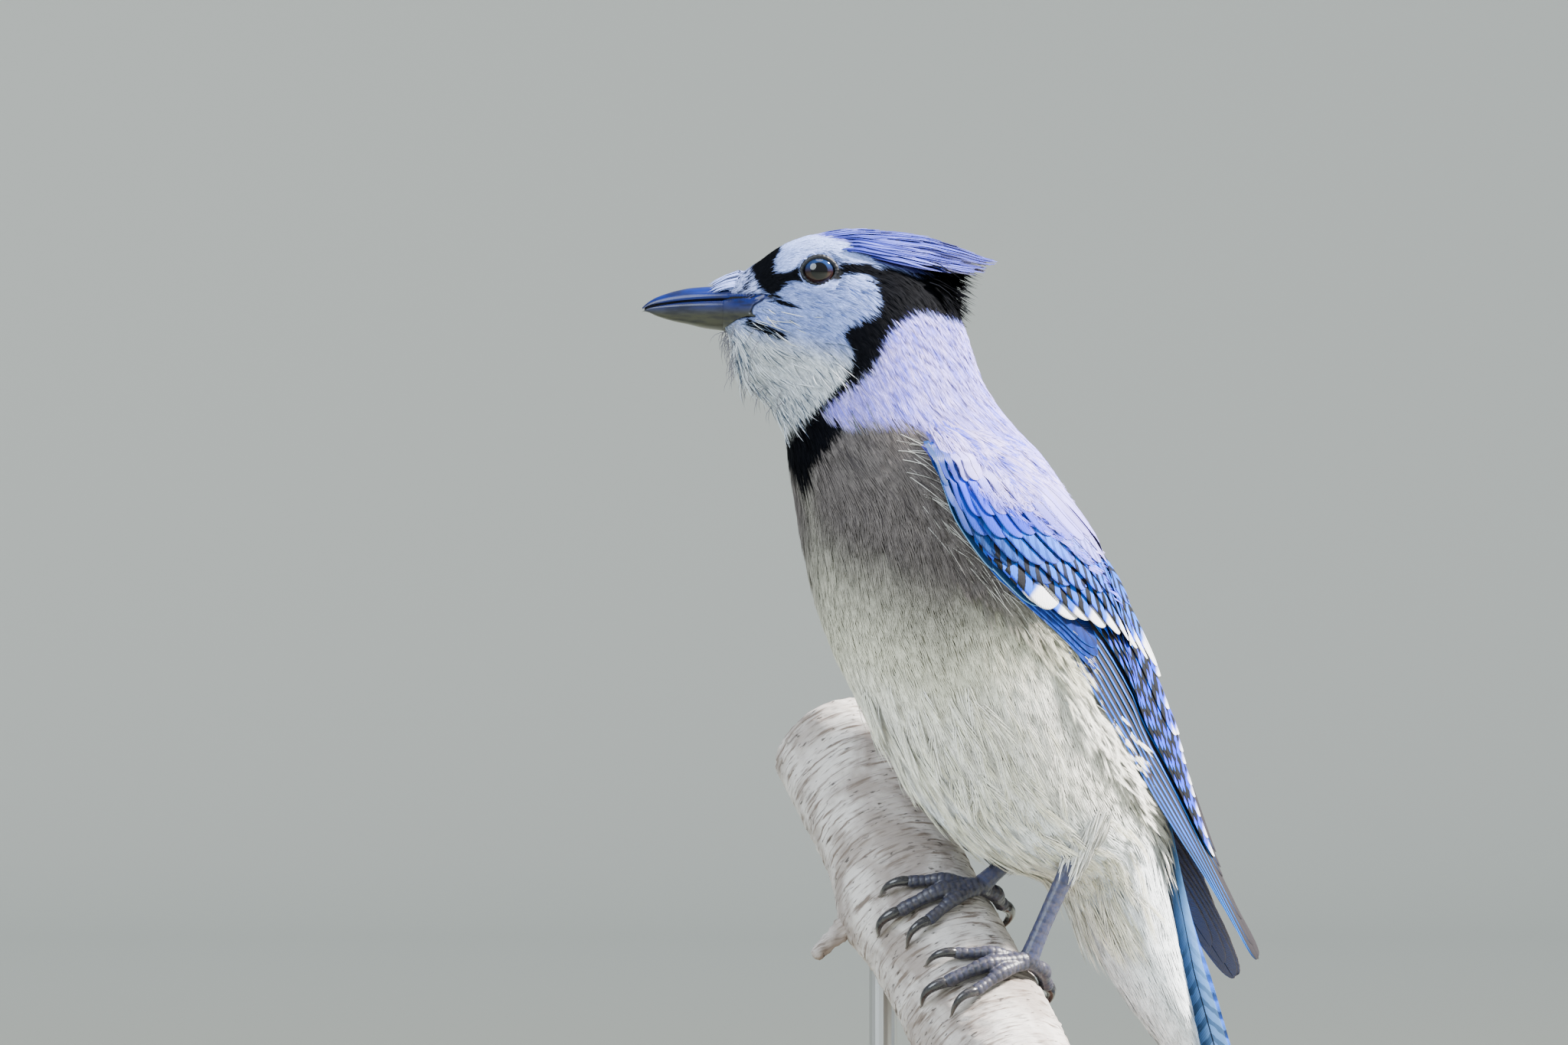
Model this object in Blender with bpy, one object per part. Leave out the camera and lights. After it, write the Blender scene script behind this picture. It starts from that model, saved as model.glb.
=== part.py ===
"""A life-size still model of a blue jay, perched on a cut length of branch on a display stand.

Metres, +Z up. The bird faces -X and its left side is towards -Y. The origin is the middle
of the underside of the stand's base. All the sizes below are in millimetres. The body is
described in the view that shows the head in exact profile: 'across' grows towards the
tail, 'height' is above the floor and 'side' is the distance to the bird's right.
"""
import math
import random

import bmesh
import bpy
from mathutils import Vector
from mathutils.bvhtree import BVHTree

MM = 0.001
GAP = 0.3
HEAD_TURN = math.radians(28.0)
PIVOT_ACROSS = -20.6
SHIFT = Vector((-8.0, -6.0, 0.0))

# Sections of the body from the root of the bill to the end of the coverts under the tail:
# across and height of the throat side, the same of the back, half width, share of the
# head's turn.
SECTIONS = (
    (-58.6, 246.6, -58.6, 256.3, 4.9, 1.00),
    (-57.6, 245.7, -55.0, 258.7, 6.4, 1.00),
    (-56.9, 244.4, -51.2, 261.2, 8.4, 1.00),
    (-56.4, 242.4, -46.2, 264.6, 10.3, 1.00),
    (-55.8, 239.8, -39.9, 267.0, 12.0, 1.00),
    (-54.8, 236.8, -32.2, 267.6, 13.4, 1.00),
    (-52.1, 234.3, -23.1, 266.2, 14.3, 1.00),
    (-49.5, 232.0, -15.2, 262.2, 14.7, 0.90),
    (-47.5, 229.4, -9.9, 255.5, 15.0, 0.75),
    (-46.2, 226.8, -6.9, 248.0, 15.6, 0.60),
    (-45.5, 223.1, -4.6, 241.3, 16.8, 0.40),
    (-44.9, 219.0, -2.0, 234.2, 18.8, 0.25),
    (-44.1, 214.0, 3.0, 226.9, 21.6, 0.10),
    (-42.9, 206.6, 10.7, 218.7, 24.4, 0.00),
    (-41.6, 197.9, 17.6, 208.3, 25.8, 0.00),
    (-38.9, 186.8, 22.0, 197.9, 26.2, 0.00),
    (-35.3, 177.3, 25.0, 187.5, 26.0, 0.00),
    (-30.5, 167.7, 27.8, 176.5, 25.2, 0.00),
    (-24.4, 157.1, 30.5, 166.0, 23.6, 0.00),
    (-16.8, 145.6, 32.8, 156.0, 21.2, 0.00),
    (-8.3, 137.3, 34.3, 148.5, 18.0, 0.00),
    (1.7, 131.8, 35.6, 142.5, 14.8, 0.00),
    (11.9, 128.6, 36.0, 136.3, 12.0, 0.00),
    (17.3, 121.5, 36.8, 127.5, 10.8, 0.00),
    (23.0, 111.5, 38.5, 116.5, 10.0, 0.00),
    (30.0, 101.0, 40.6, 105.0, 9.0, 0.00),
    (36.5, 92.5, 42.6, 95.5, 7.2, 0.00),
    (42.0, 85.5, 44.8, 87.0, 4.4, 0.00),
)
HEAD_END = 8.4
NECK_END = 11.6
TORSO_END = 21.6
BODY_END = 27.0
RING_SIDES = 24
ROUNDNESS = 2.15

# Bill: across, height of the mouth line, height of the culmen, height of the lower edge
# and half width, from the feathers to the tip.
BILL = (
    (-59.0, 253.4, 256.2, 246.6, 4.7),
    (-62.7, 253.3, 256.0, 247.1, 4.0),
    (-66.0, 253.1, 255.7, 247.9, 3.2),
    (-69.3, 252.8, 255.0, 248.6, 2.4),
    (-72.6, 252.3, 253.9, 249.6, 1.5),
    (-74.6, 251.8, 252.8, 250.5, 0.9),
    (-76.0, 251.1, 251.6, 250.8, 0.35),
)
MOUTH_GAP = 0.35
GAPE_ACROSS = -47.5
NOSTRIL_ACROSS = -60.9
NOSTRIL_HEIGHT = 254.8
NOSTRIL_LENGTH = 1.7

EYE_ACROSS = -38.0
EYE_HEIGHT = 259.3
EYE_SIDE = 8.9
EYE_RADIUS = 4.0
LID_RADIUS = 3.75
LID_THICKNESS = 0.55
LID_SIDES = 16

# Edges of the folded left wing from the wrist to the tip: across, height, side.
WING_LOWER = (
    (-14.0, 220.6, -24.0),
    (-8.0, 204.0, -27.0),
    (2.0, 191.5, -27.5),
    (15.0, 179.0, -26.0),
    (25.0, 162.0, -20.5),
    (37.0, 142.5, -13.4),
    (46.5, 128.0, -9.0),
    (56.6, 110.4, -5.4),
)
WING_UPPER = (
    (3.0, 222.0, -15.0),
    (13.0, 209.0, -11.0),
    (23.5, 196.0, -5.0),
    (31.0, 182.0, -3.0),
    (37.6, 167.0, -2.2),
    (43.0, 152.0, -2.0),
    (48.5, 134.0, -2.4),
    (58.2, 112.0, -4.2),
)
WING_CLEARANCE = 0.9
WING_BULGE = 3.2
CORE_LENGTH = 0.40
CORE_INNER = -0.5
CORE_OUTER = 0.4
RIGHT_WING_DROOP = 4.5

# Feather tiers of a wing: count, root along, tip along, root across, tip across, width,
# height above the wing's sheet. The places are shares of the wing's length and breadth,
# the first of each pair for the lowest feather and the second for the uppermost.
TIERS = {
    "primaries": (6, (0.30, 0.30), (0.90, 0.86), (0.06, 0.50), (0.12, 0.90), (7.5, 8.5), 0.2),
    "secondaries": (4, (0.26, 0.22), (0.78, 0.66), (0.54, 0.78), (0.64, 0.92), (9.0, 9.5), 1.2),
    "tertials": (2, (0.20, 0.16), (0.60, 0.49), (0.82, 0.94), (0.82, 0.95), (10.0, 10.0), 2.1),
    "primary_coverts": (2, (0.14, 0.16), (0.46, 0.42), (0.05, 0.16), (0.07, 0.20), (5.5, 6.5), 1.3),
    "greater_coverts": (6, (0.12, 0.10), (0.40, 0.36), (0.20, 0.90), (0.22, 0.90), (8.0, 8.5), 2.4),
    "median_coverts": (5, (0.03, 0.02), (0.24, 0.22), (0.12, 0.88), (0.14, 0.88), (8.0, 8.5), 3.3),
    "scapulars": (3, (0.04, 0.00), (0.32, 0.22), (0.76, 1.00), (0.86, 1.04), (8.0, 8.0), 4.2),
}
PRIMARY_REACH = 0.12
SHINGLE_TILT = math.radians(21.0)
VANE_THICKNESS = 0.5

# Tail: root of the middle pair in the mirror plane, angle below level, and its feathers.
TAIL_ROOT = Vector((40.0, 0.0, 146.0))
TAIL_ANGLE = math.radians(74.0)
TAIL_LENGTH = 128.0
TAIL_PAIRS = 6
TAIL_VANE_WIDTH = 13.0
TAIL_SPREAD = 2.1
TAIL_LAYER = 0.78
TAIL_STEP = 0.42

# Crest: rows of feathers from the crown to its tip.
CREST_ROWS = 4
CREST_ROOT_ACROSS = (-34.0, -14.0)
CREST_TIP_ACROSS = (-12.0, 0.8)
CREST_TIP_HEIGHT = (264.4, 261.0)
CREST_WIDTH = 5.4

# The branch: a point of its axis, its direction downwards, and its size.
PERCH_POINT = Vector((-4.3, 2.5, 100.0))
PERCH_AXIS = Vector((0.068, -0.683, -0.727)).normalized()
PERCH_RADIUS = 15.0
PERCH_TAPER = 0.014
PERCH_START = -80.0
PERCH_END = 40.0
PERCH_STEP = 8.0
PERCH_SIDES = 18

# Feet: place along the branch and round it (degrees back from its top) of each foot's
# joint, and each toe: name, degrees of its direction, length, radius, claw length.
FEET = {"left": (0.8, 19.0), "right": (-21.2, 12.0)}
TOES = (
    ("inner", -1, -0.36, 15.5, 1.65, 7.0),
    ("middle", -1, 0.0, 20.5, 1.8, 8.0),
    ("outer", -1, 0.38, 15.5, 1.6, 7.0),
    ("hind", 1, 0.0, 12.0, 1.9, 9.0),
)
CLAW_GAP = 0.9
ANKLE_LENGTH = 4.2
TARSUS_LENGTH = {"left": 22.0, "right": 10.5}
TARSUS_DIRECTION = {
    "left": Vector((0.394, -0.138, 0.909)).normalized(),
    "right": Vector((0.80, -0.05, 0.60)).normalized(),
}
TARSUS_RADIUS = 1.75
THIGH_LENGTH = 11.0
THIGH_RADIUS = (3.0, 6.5)
THIGH_DIRECTION = Vector((0.05, 0.32, 0.95)).normalized()

BASE_LENGTH = 160.0
BASE_WIDTH = 124.0
BASE_THICKNESS = 12.0
BASE_CORNER = 22.0
BASE_EDGE = 2.0
ROD_RADIUS = 3.0
ROD_PLACES = {"stand_rod_upper": -50.0, "stand_rod_lower": 20.0}


def clear_scene():
    for item in list(bpy.data.objects):
        bpy.data.objects.remove(item, do_unlink=True)


def material(name, colour, roughness, metallic=0.0):
    made = bpy.data.materials.new(name)
    made.use_nodes = True
    shader = made.node_tree.nodes["Principled BSDF"]
    shader.inputs["Base Color"].default_value = (*colour, 1.0)
    shader.inputs["Roughness"].default_value = roughness
    shader.inputs["Metallic"].default_value = metallic
    return made


def lerp(first, second, share):
    return first + (second - first) * share


def smooth(values, place):
    """Catmull-Rom value, number or tuple, at a place counted in steps along the values."""
    last = len(values) - 1
    index = min(max(int(math.floor(place)), 0), last - 1)
    share = place - index
    before = values[max(index - 1, 0)]
    here = values[index]
    after = values[index + 1]
    beyond = values[min(index + 2, last)]

    def mix(a, b, c, d):
        slope_in = (c - a) / 2
        slope_out = (d - b) / 2
        cubed = share ** 3
        squared = share ** 2
        return (b * (2 * cubed - 3 * squared + 1) + slope_in * (cubed - 2 * squared + share)
                + c * (3 * squared - 2 * cubed) + slope_out * (cubed - squared))

    if isinstance(here, (int, float)):
        return mix(before, here, after, beyond)
    return tuple(mix(*group) for group in zip(before, here, after, beyond))


def rearward(turn):
    angle = HEAD_TURN * turn
    return Vector((math.cos(angle), -math.sin(angle), 0.0))


def rightward(turn):
    angle = HEAD_TURN * turn
    return Vector((math.sin(angle), math.cos(angle), 0.0))


def body_point(across, height, turn):
    """Point of the body's middle plane, which bends from the torso to the turned head."""
    pivot = Vector((PIVOT_ACROSS / math.cos(HEAD_TURN), 0.0, 0.0))
    straight = Vector((1.0 / math.cos(HEAD_TURN), 0.0, 0.0))
    step = straight.lerp(rearward(1.0), turn)
    return pivot + step * (across - PIVOT_ACROSS) + Vector((0.0, 0.0, height))


def head_point(across, height, side):
    return body_point(across, height, 1.0) + rightward(1.0) * side


def flank_point(across, height, side):
    """Point seen at this place in the profile view, at this distance to the right."""
    return Vector(((across + side * math.sin(HEAD_TURN)) / math.cos(HEAD_TURN), side, height))


def section(place, grow=0.0, sides=RING_SIDES):
    """One ring of the body, and the direction along the body towards the tail."""
    low_a, low_h, high_a, high_h, half_width, turn = smooth(SECTIONS, place)
    turn = min(max(turn, 0.0), 1.0)
    centre = body_point((low_a + high_a) / 2, (low_h + high_h) / 2, turn)
    half_depth = math.hypot(high_a - low_a, high_h - low_h) / 2
    rise = (high_h - low_h) * lerp(1.0 / math.cos(HEAD_TURN), 1.0, turn)
    depth_way = (rearward(turn) * (high_a - low_a) + Vector((0.0, 0.0, rise))).normalized()
    side_way = rightward(turn)
    ring = []
    for number in range(sides):
        angle = 2 * math.pi * number / sides
        reach_depth = math.copysign(abs(math.cos(angle)) ** (2 / ROUNDNESS), math.cos(angle))
        reach_side = math.copysign(abs(math.sin(angle)) ** (2 / ROUNDNESS), math.sin(angle))
        ring.append(centre + depth_way * (half_depth + grow) * reach_depth
                    + side_way * (half_width + grow) * reach_side)
    return ring, side_way.cross(depth_way).normalized()


def mesh_object(name, points, faces, finish):
    mesh = bpy.data.meshes.new(name)
    mesh.from_pydata([(point + SHIFT) * MM for point in points], [], faces)
    mesh.materials.append(finish)
    made = bpy.data.objects.new(name, mesh)
    bpy.context.scene.collection.objects.link(made)
    work = bmesh.new()
    work.from_mesh(mesh)
    bmesh.ops.recalc_face_normals(work, faces=work.faces)
    if work.calc_volume(signed=True) < 0:
        bmesh.ops.reverse_faces(work, faces=work.faces)
    work.to_mesh(mesh)
    work.free()
    return made


def loft(name, rings, finish):
    """Closed solid through rings of equal count, with flat ends."""
    sides = len(rings[0])
    points = [point for ring in rings for point in ring]
    faces = []
    for row in range(len(rings) - 1):
        for column in range(sides):
            following = (column + 1) % sides
            first = row * sides
            second = first + sides
            faces.append((first + column, first + following, second + following, second + column))
    faces.append(tuple(range(sides)))
    faces.append(tuple(range(len(points) - sides, len(points))))
    return mesh_object(name, points, faces, finish)


def body_length(name, start, end, step, finish, grow=0.0):
    """One length of the body, its ends drawn back so that lengths keep their gap."""
    count = max(2, round((end - start) / step))
    rings = []
    for number in range(count + 1):
        ring, along = section(lerp(start, end, number / count), grow)
        if number == 0 and start > 0:
            ring = [point + along * (GAP / 2 - grow * 1.5) for point in ring]
        if number == count:
            ring = [point - along * (GAP / 2 - grow * 1.5) for point in ring]
        rings.append(ring)
    return loft(name, rings, finish)


def keep_largest(item):
    """Leave only the largest closed surface of an object."""
    work = bmesh.new()
    work.from_mesh(item.data)
    waiting = set(work.faces)
    islands = []
    while waiting:
        front = [waiting.pop()]
        island = list(front)
        while front:
            for edge in front.pop().edges:
                for face in edge.link_faces:
                    if face in waiting:
                        waiting.discard(face)
                        island.append(face)
                        front.append(face)
        islands.append(island)

    def spread(island):
        places = [vertex.co for face in island for vertex in face.verts]
        lows = [min(place[axis] for place in places) for axis in range(3)]
        highs = [max(place[axis] for place in places) for axis in range(3)]
        return (Vector(highs) - Vector(lows)).length

    islands.sort(key=spread)
    for island in islands[:-1]:
        bmesh.ops.delete(work, geom=island, context="FACES")
    work.to_mesh(item.data)
    work.free()


def combine(target, pieces, operation="UNION", solver="EXACT"):
    """Boolean of the target with all the pieces, applied, and the pieces removed."""
    if not pieces:
        return target
    group = bpy.data.collections.new("pieces")
    bpy.context.scene.collection.children.link(group)
    for piece in pieces:
        group.objects.link(piece)
        bpy.context.scene.collection.objects.unlink(piece)
    modifier = target.modifiers.new("combine", "BOOLEAN")
    modifier.operand_type = "COLLECTION"
    modifier.collection = group
    modifier.operation = operation
    modifier.solver = solver
    graph = bpy.context.evaluated_depsgraph_get()
    result = bpy.data.meshes.new_from_object(target.evaluated_get(graph))
    target.modifiers.remove(modifier)
    target.data = result
    for piece in pieces:
        bpy.data.objects.remove(piece, do_unlink=True)
    bpy.data.collections.remove(group)
    keep_largest(target)
    return target


def vane(name, spine, normals, widths, thickness, tilt, finish):
    """Thin feather with a lens-shaped section along a spine, alike on both faces."""
    points = []
    count = len(spine)
    for number, place in enumerate(spine):
        ahead = spine[min(number + 1, count - 1)]
        behind = spine[max(number - 1, 0)]
        along = (ahead - behind).normalized()
        upward = (normals[number] - along * normals[number].dot(along)).normalized()
        sideways = along.cross(upward)
        slant = sideways * math.cos(tilt) + upward * math.sin(tilt)
        lift = upward * math.cos(tilt) - sideways * math.sin(tilt)
        half = widths[number] / 2
        share = number / (count - 1)
        half_thick = thickness * lerp(0.5, 0.32, share)
        points.append(place - slant * half)
        points.append(place + lift * half_thick)
        points.append(place + slant * half)
        points.append(place - lift * half_thick)
    faces = []
    for row in range(count - 1):
        here = row * 4
        there = here + 4
        for edge, ridge in ((0, 1), (2, 1), (0, 3), (2, 3)):
            faces.append((here + edge, there + edge, there + ridge))
            faces.append((here + edge, there + ridge, here + ridge))
    faces.append((0, 1, 2))
    faces.append((0, 2, 3))
    end = (count - 1) * 4
    faces.append((end, end + 1, end + 2))
    faces.append((end, end + 2, end + 3))
    return mesh_object(name, points, faces, finish)


VANE_PLACES = (0.0, 0.3, 0.65, 0.9, 1.0)
VANE_SHAPE = (0.42, 0.92, 1.0, 0.66, 0.16)
SHORT_PLACES = (0.0, 0.4, 0.82, 1.0)
SHORT_SHAPE = (0.5, 1.0, 0.8, 0.18)
LONG_FEATHERS = 0.3
TAIL_SHAPE = (0.3, 0.7, 1.0, 0.8, 0.25)


def tube(name, centres, radii, sides, finish):
    """Round solid along a row of centres."""
    rings = []
    count = len(centres)
    side = None
    for number, place in enumerate(centres):
        ahead = centres[min(number + 1, count - 1)]
        behind = centres[max(number - 1, 0)]
        along = (ahead - behind).normalized()
        if side is None:
            side = along.orthogonal().normalized()
        side = (side - along * side.dot(along)).normalized()
        other = along.cross(side)
        ring = []
        for step in range(sides):
            angle = 2 * math.pi * step / sides
            ring.append(place + (side * math.cos(angle) + other * math.sin(angle)) * radii[number])
        rings.append(ring)
    return loft(name, rings, finish)


def ball(name, centre, radius, finish, detail=3):
    work = bmesh.new()
    bmesh.ops.create_icosphere(work, subdivisions=detail, radius=radius * MM)
    bmesh.ops.translate(work, verts=work.verts, vec=(centre + SHIFT) * MM)
    mesh = bpy.data.meshes.new(name)
    work.to_mesh(mesh)
    work.free()
    mesh.materials.append(finish)
    made = bpy.data.objects.new(name, mesh)
    bpy.context.scene.collection.objects.link(made)
    return made


def ring_solid(name, centre, axis, radius, thickness, finish):
    """Torus about an axis, for a lid."""
    first = axis.orthogonal().normalized()
    second = axis.cross(first)
    around = LID_SIDES
    through = 5
    points = []
    faces = []
    for step in range(around):
        angle = 2 * math.pi * step / around
        outward = first * math.cos(angle) + second * math.sin(angle)
        for small in range(through):
            turn = 2 * math.pi * small / through
            points.append(centre + outward * (radius + thickness * math.cos(turn))
                          + axis * thickness * math.sin(turn))
    for step in range(around):
        for small in range(through):
            after = (step + 1) % around * through
            before = step * through
            following = (small + 1) % through
            faces.append((before + small, after + small, after + following, before + following))
    return mesh_object(name, points, faces, finish)


def build_bill(finish):
    """Upper and lower bill, one arched and one keeled, with the mouth line between them."""
    upper = []
    lower = []
    steps = 12
    arc = 8
    for number in range(steps + 1):
        across, mouth, culmen, edge, half = smooth(BILL, number * (len(BILL) - 1) / steps)
        upper_ring = []
        lower_ring = []
        for step in range(arc + 1):
            angle = math.pi * step / arc
            side = half * math.cos(angle)
            rise = math.sin(angle) ** 0.8
            upper_ring.append(head_point(across, mouth + (culmen - mouth) * rise, side))
            top = mouth - MOUTH_GAP
            depth = max(top - edge, 0.12)
            lower_ring.append(head_point(across, top - depth * rise, side * 0.97))
        upper.append(upper_ring)
        lower.append(lower_ring)
    bill_upper = loft("bill_upper", upper, finish)
    pits = []
    for side in (-1, 1):
        centre = head_point(NOSTRIL_ACROSS, NOSTRIL_HEIGHT, side * 4.1)
        spread = rearward(1.0) * NOSTRIL_LENGTH / 2
        pits.append(tube("pit", [centre - spread, centre, centre + spread], [0.2, 0.55, 0.2], 8, finish))
    combine(bill_upper, pits, "DIFFERENCE")
    return bill_upper, loft("bill_lower", lower, finish)


def build_head(finish):
    head = body_length("head", 0.0, HEAD_END, 0.42, finish)
    lids = []
    sockets = []
    for side in (-1, 1):
        outward = rightward(1.0) * side
        centre = head_point(EYE_ACROSS, EYE_HEIGHT, EYE_SIDE * side)
        plane = math.sqrt(EYE_RADIUS ** 2 - (LID_RADIUS - LID_THICKNESS) ** 2)
        lids.append(ring_solid("lid", centre + outward * plane, outward, LID_RADIUS,
                               LID_THICKNESS, finish))
        sockets.append(ball("socket", centre, EYE_RADIUS + GAP * 1.4, finish, 2))
    combine(head, lids)
    combine(head, sockets, "DIFFERENCE")
    slots = []
    for side in (-1, 1):
        start = head_point(BILL[0][0] - 1.0, BILL[0][1] - MOUTH_GAP / 2, side * 6.6)
        end = head_point(GAPE_ACROSS, BILL[0][1] - 0.6, side * 11.4)
        slots.append(tube("slot", [start, start.lerp(end, 0.6), end], [1.4, 0.9, 0.25], 6, finish))
    combine(head, slots, "DIFFERENCE")
    return head


def build_eye(side_name, side, finish):
    centre = head_point(EYE_ACROSS, EYE_HEIGHT, EYE_SIDE * side)
    return ball("eye_" + side_name, centre, EYE_RADIUS, finish, 2)


def crown_height(across):
    """Height of the skull's outline above a place on the crown."""
    crown = [(row[2], row[3]) for row in SECTIONS[:11]]
    for (first, low), (second, high) in zip(crown, crown[1:]):
        if first <= across <= second:
            return lerp(low, high, (across - first) / (second - first))
    return crown[-1][1]


def crest_feathers(finish):
    """Lance-shaped feathers from the crown back to the crest's tip."""
    draw = random.Random(11)
    feathers = []
    for row in range(CREST_ROWS):
        share = row / (CREST_ROWS - 1)
        root_across = lerp(*CREST_ROOT_ACROSS, share)
        tip_across = lerp(*CREST_TIP_ACROSS, share)
        tip_height = lerp(*CREST_TIP_HEIGHT, share)
        columns = 4 if row % 2 else 3
        for column in range(columns):
            spread = column - (columns - 1) / 2
            side_root = spread * 5.2
            side_tip = spread * lerp(4.4, 2.0, share)
            back = abs(spread) * 1.6 + draw.uniform(-0.6, 0.6)
            root = head_point(root_across, crown_height(root_across) - 1.6 - side_root ** 2 * 0.045,
                              side_root)
            tip = head_point(tip_across - back, tip_height - side_tip ** 2 * 0.07 - back * 0.3, side_tip)
            lift = lerp(2.3, 1.2, share)
            spine = []
            normals = []
            for place in SHORT_PLACES:
                arch = math.sin(math.pi * place) * lift
                spine.append(root.lerp(tip, place) + Vector((0.0, 0.0, arch)))
                leaning = rightward(1.0) * lerp(side_root, side_tip, place) * 0.06
                normals.append(Vector((0.0, 0.0, 1.0)) + leaning)
            widths = [CREST_WIDTH * shape for shape in SHORT_SHAPE]
            feathers.append(vane("feather", spine, normals, widths, VANE_THICKNESS, 0.0, finish))
    for number in range(5):
        spread = (number - 2) * 1.4
        root = head_point(-17.0, 256.0 - abs(spread) * 2.4, spread * 3.6)
        tip = head_point(-5.2 + draw.uniform(-0.8, 0.8), 252.5 - abs(spread) * 3.4, spread * 3.5)
        spine = [root.lerp(tip, place) for place in SHORT_PLACES]
        outward = rearward(1.0) * 0.5 + Vector((0.0, 0.0, 0.7)) + rightward(1.0) * spread * 0.2
        widths = [4.4 * shape for shape in SHORT_SHAPE]
        feathers.append(vane("feather", spine, [outward] * len(spine), widths, VANE_THICKNESS, 0.0, finish))
    return feathers


def nasal_feathers(finish):
    """Bristle tufts that lie forward over the nostrils."""
    feathers = []
    for side in (-1, 1):
        for number in range(2):
            root = head_point(-53.5, 259.4 - number * 2.2, side * (3.0 + number * 2.2))
            tip = head_point(-60.6, 257.5 - number * 1.3, side * (2.6 + number * 2.2))
            spine = [root.lerp(tip, place) for place in (0.0, 0.5, 0.85, 1.0)]
            normals = [rightward(1.0) * side * (0.6 + number * 0.6) + Vector((0.0, 0.0, 1.0))] * 4
            feathers.append(vane("feather", spine, normals, [2.6, 2.6, 1.8, 0.5], 0.55, 0.0, finish))
    return feathers


def sight_tree(items):
    """Search tree over several objects' surfaces, in mm before the shift."""
    points = []
    faces = []
    for item in items:
        first = len(points)
        points.extend(vertex.co / MM - SHIFT for vertex in item.data.vertices)
        faces.extend(tuple(first + index for index in face.vertices) for face in item.data.polygons)
    return BVHTree.FromPolygons(points, faces)


class Wing:
    """Sheet of a folded left wing: a place along and across it gives a point."""

    def __init__(self, tree, droop):
        self.tree = tree
        self.droop = droop

    def point(self, along, across, height=0.0):
        last = len(WING_LOWER) - 1
        low = Vector(smooth(WING_LOWER, along * last))
        high = Vector(smooth(WING_UPPER, along * last))
        place = low.lerp(high, across)
        taper = max(0.0, 1.0 - along) ** 0.7
        bulge = WING_BULGE * math.sin(math.pi * min(max(across, 0.0), 1.0)) * taper
        free = flank_point(place.x, place.y, place.z - bulge)
        free.z -= self.droop * along ** 2
        start = Vector((free.x, -80.0, free.z))
        hit = self.tree.ray_cast(start, Vector((0.0, 1.0, 0.0)))[0]
        side = free.y
        if hit is not None:
            side = min(side, hit.y - WING_CLEARANCE)
        result = Vector((free.x, side, free.z))
        if height:
            result += self.normal(along, across) * height
        return result

    def normal(self, along, across):
        step = 0.03
        along_way = self.point(along + step, across) - self.point(along - step, across)
        across_way = self.point(along, across + step) - self.point(along, across - step)
        outward = along_way.cross(across_way).normalized()
        if outward.y > 0:
            outward = -outward
        return outward


def mirror(points, wanted):
    if not wanted:
        return points
    return [Vector((point.x, -point.y, point.z)) for point in points]


def build_wing(side_name, tree, finish):
    """Folded wing: a thin sheet with the feathers rooted in it in tiers."""
    right = side_name == "right"
    wing = Wing(tree, RIGHT_WING_DROOP if right else 0.0)
    rows = 6
    columns = 5
    outer = []
    inner = []
    for row in range(rows):
        for column in range(columns):
            along = lerp(0.0, CORE_LENGTH, row / (rows - 1))
            across = lerp(0.04, 0.98, column / (columns - 1))
            outer.append(wing.point(along, across, CORE_OUTER))
            inner.append(wing.point(along, across, CORE_INNER))
    points = mirror(outer + inner, right)
    faces = []
    back = rows * columns
    for row in range(rows - 1):
        for column in range(columns - 1):
            a = row * columns + column
            b = a + 1
            c = a + columns + 1
            d = a + columns
            for corners in ((a, b, c), (a, c, d)):
                faces.append(corners)
                faces.append(tuple(back + corner for corner in corners))
    border = [column for column in range(columns)]
    border += [row * columns + columns - 1 for row in range(1, rows)]
    border += [(rows - 1) * columns + column for column in range(columns - 2, -1, -1)]
    border += [row * columns for row in range(rows - 2, 0, -1)]
    for first, second in zip(border, border[1:] + border[:1]):
        faces.append((first, second, back + second, back + first))
    made = mesh_object("wing_" + side_name, points, faces, finish)
    draw = random.Random(7)
    feathers = []
    for tier, sizes in TIERS.items():
        count, root_along, tip_along, root_across, tip_across, width, height = sizes
        for number in range(count):
            share = number / (count - 1)
            reach = lerp(*tip_along, share)
            if tier == "primaries":
                reach += PRIMARY_REACH * math.sin(math.pi * min(1.0, share * 1.1 + 0.12)) ** 1.2
            reach += draw.uniform(-0.006, 0.006)
            root = (lerp(*root_along, share), lerp(*root_across, share))
            tip = (reach, lerp(*tip_across, share))
            spine = []
            normals = []
            short = tip[0] - root[0] < LONG_FEATHERS
            places = SHORT_PLACES if short else VANE_PLACES
            for place in places:
                along = lerp(root[0], tip[0], place)
                across = lerp(root[1], tip[1], place)
                rise = height * min(1.0, place / 0.22)
                spine.append(wing.point(along, across, rise))
                normals.append(wing.normal(along, across))
            tilt = SHINGLE_TILT
            if right:
                spine = mirror(spine, True)
                normals = mirror(normals, True)
                tilt = -tilt
            shapes = SHORT_SHAPE if short else VANE_SHAPE
            widths = [lerp(*width, share) * shape for shape in shapes]
            feathers.append(vane("feather", spine, normals, widths, VANE_THICKNESS, tilt, finish))
    combine(made, feathers, solver="MANIFOLD")
    return made


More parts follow.
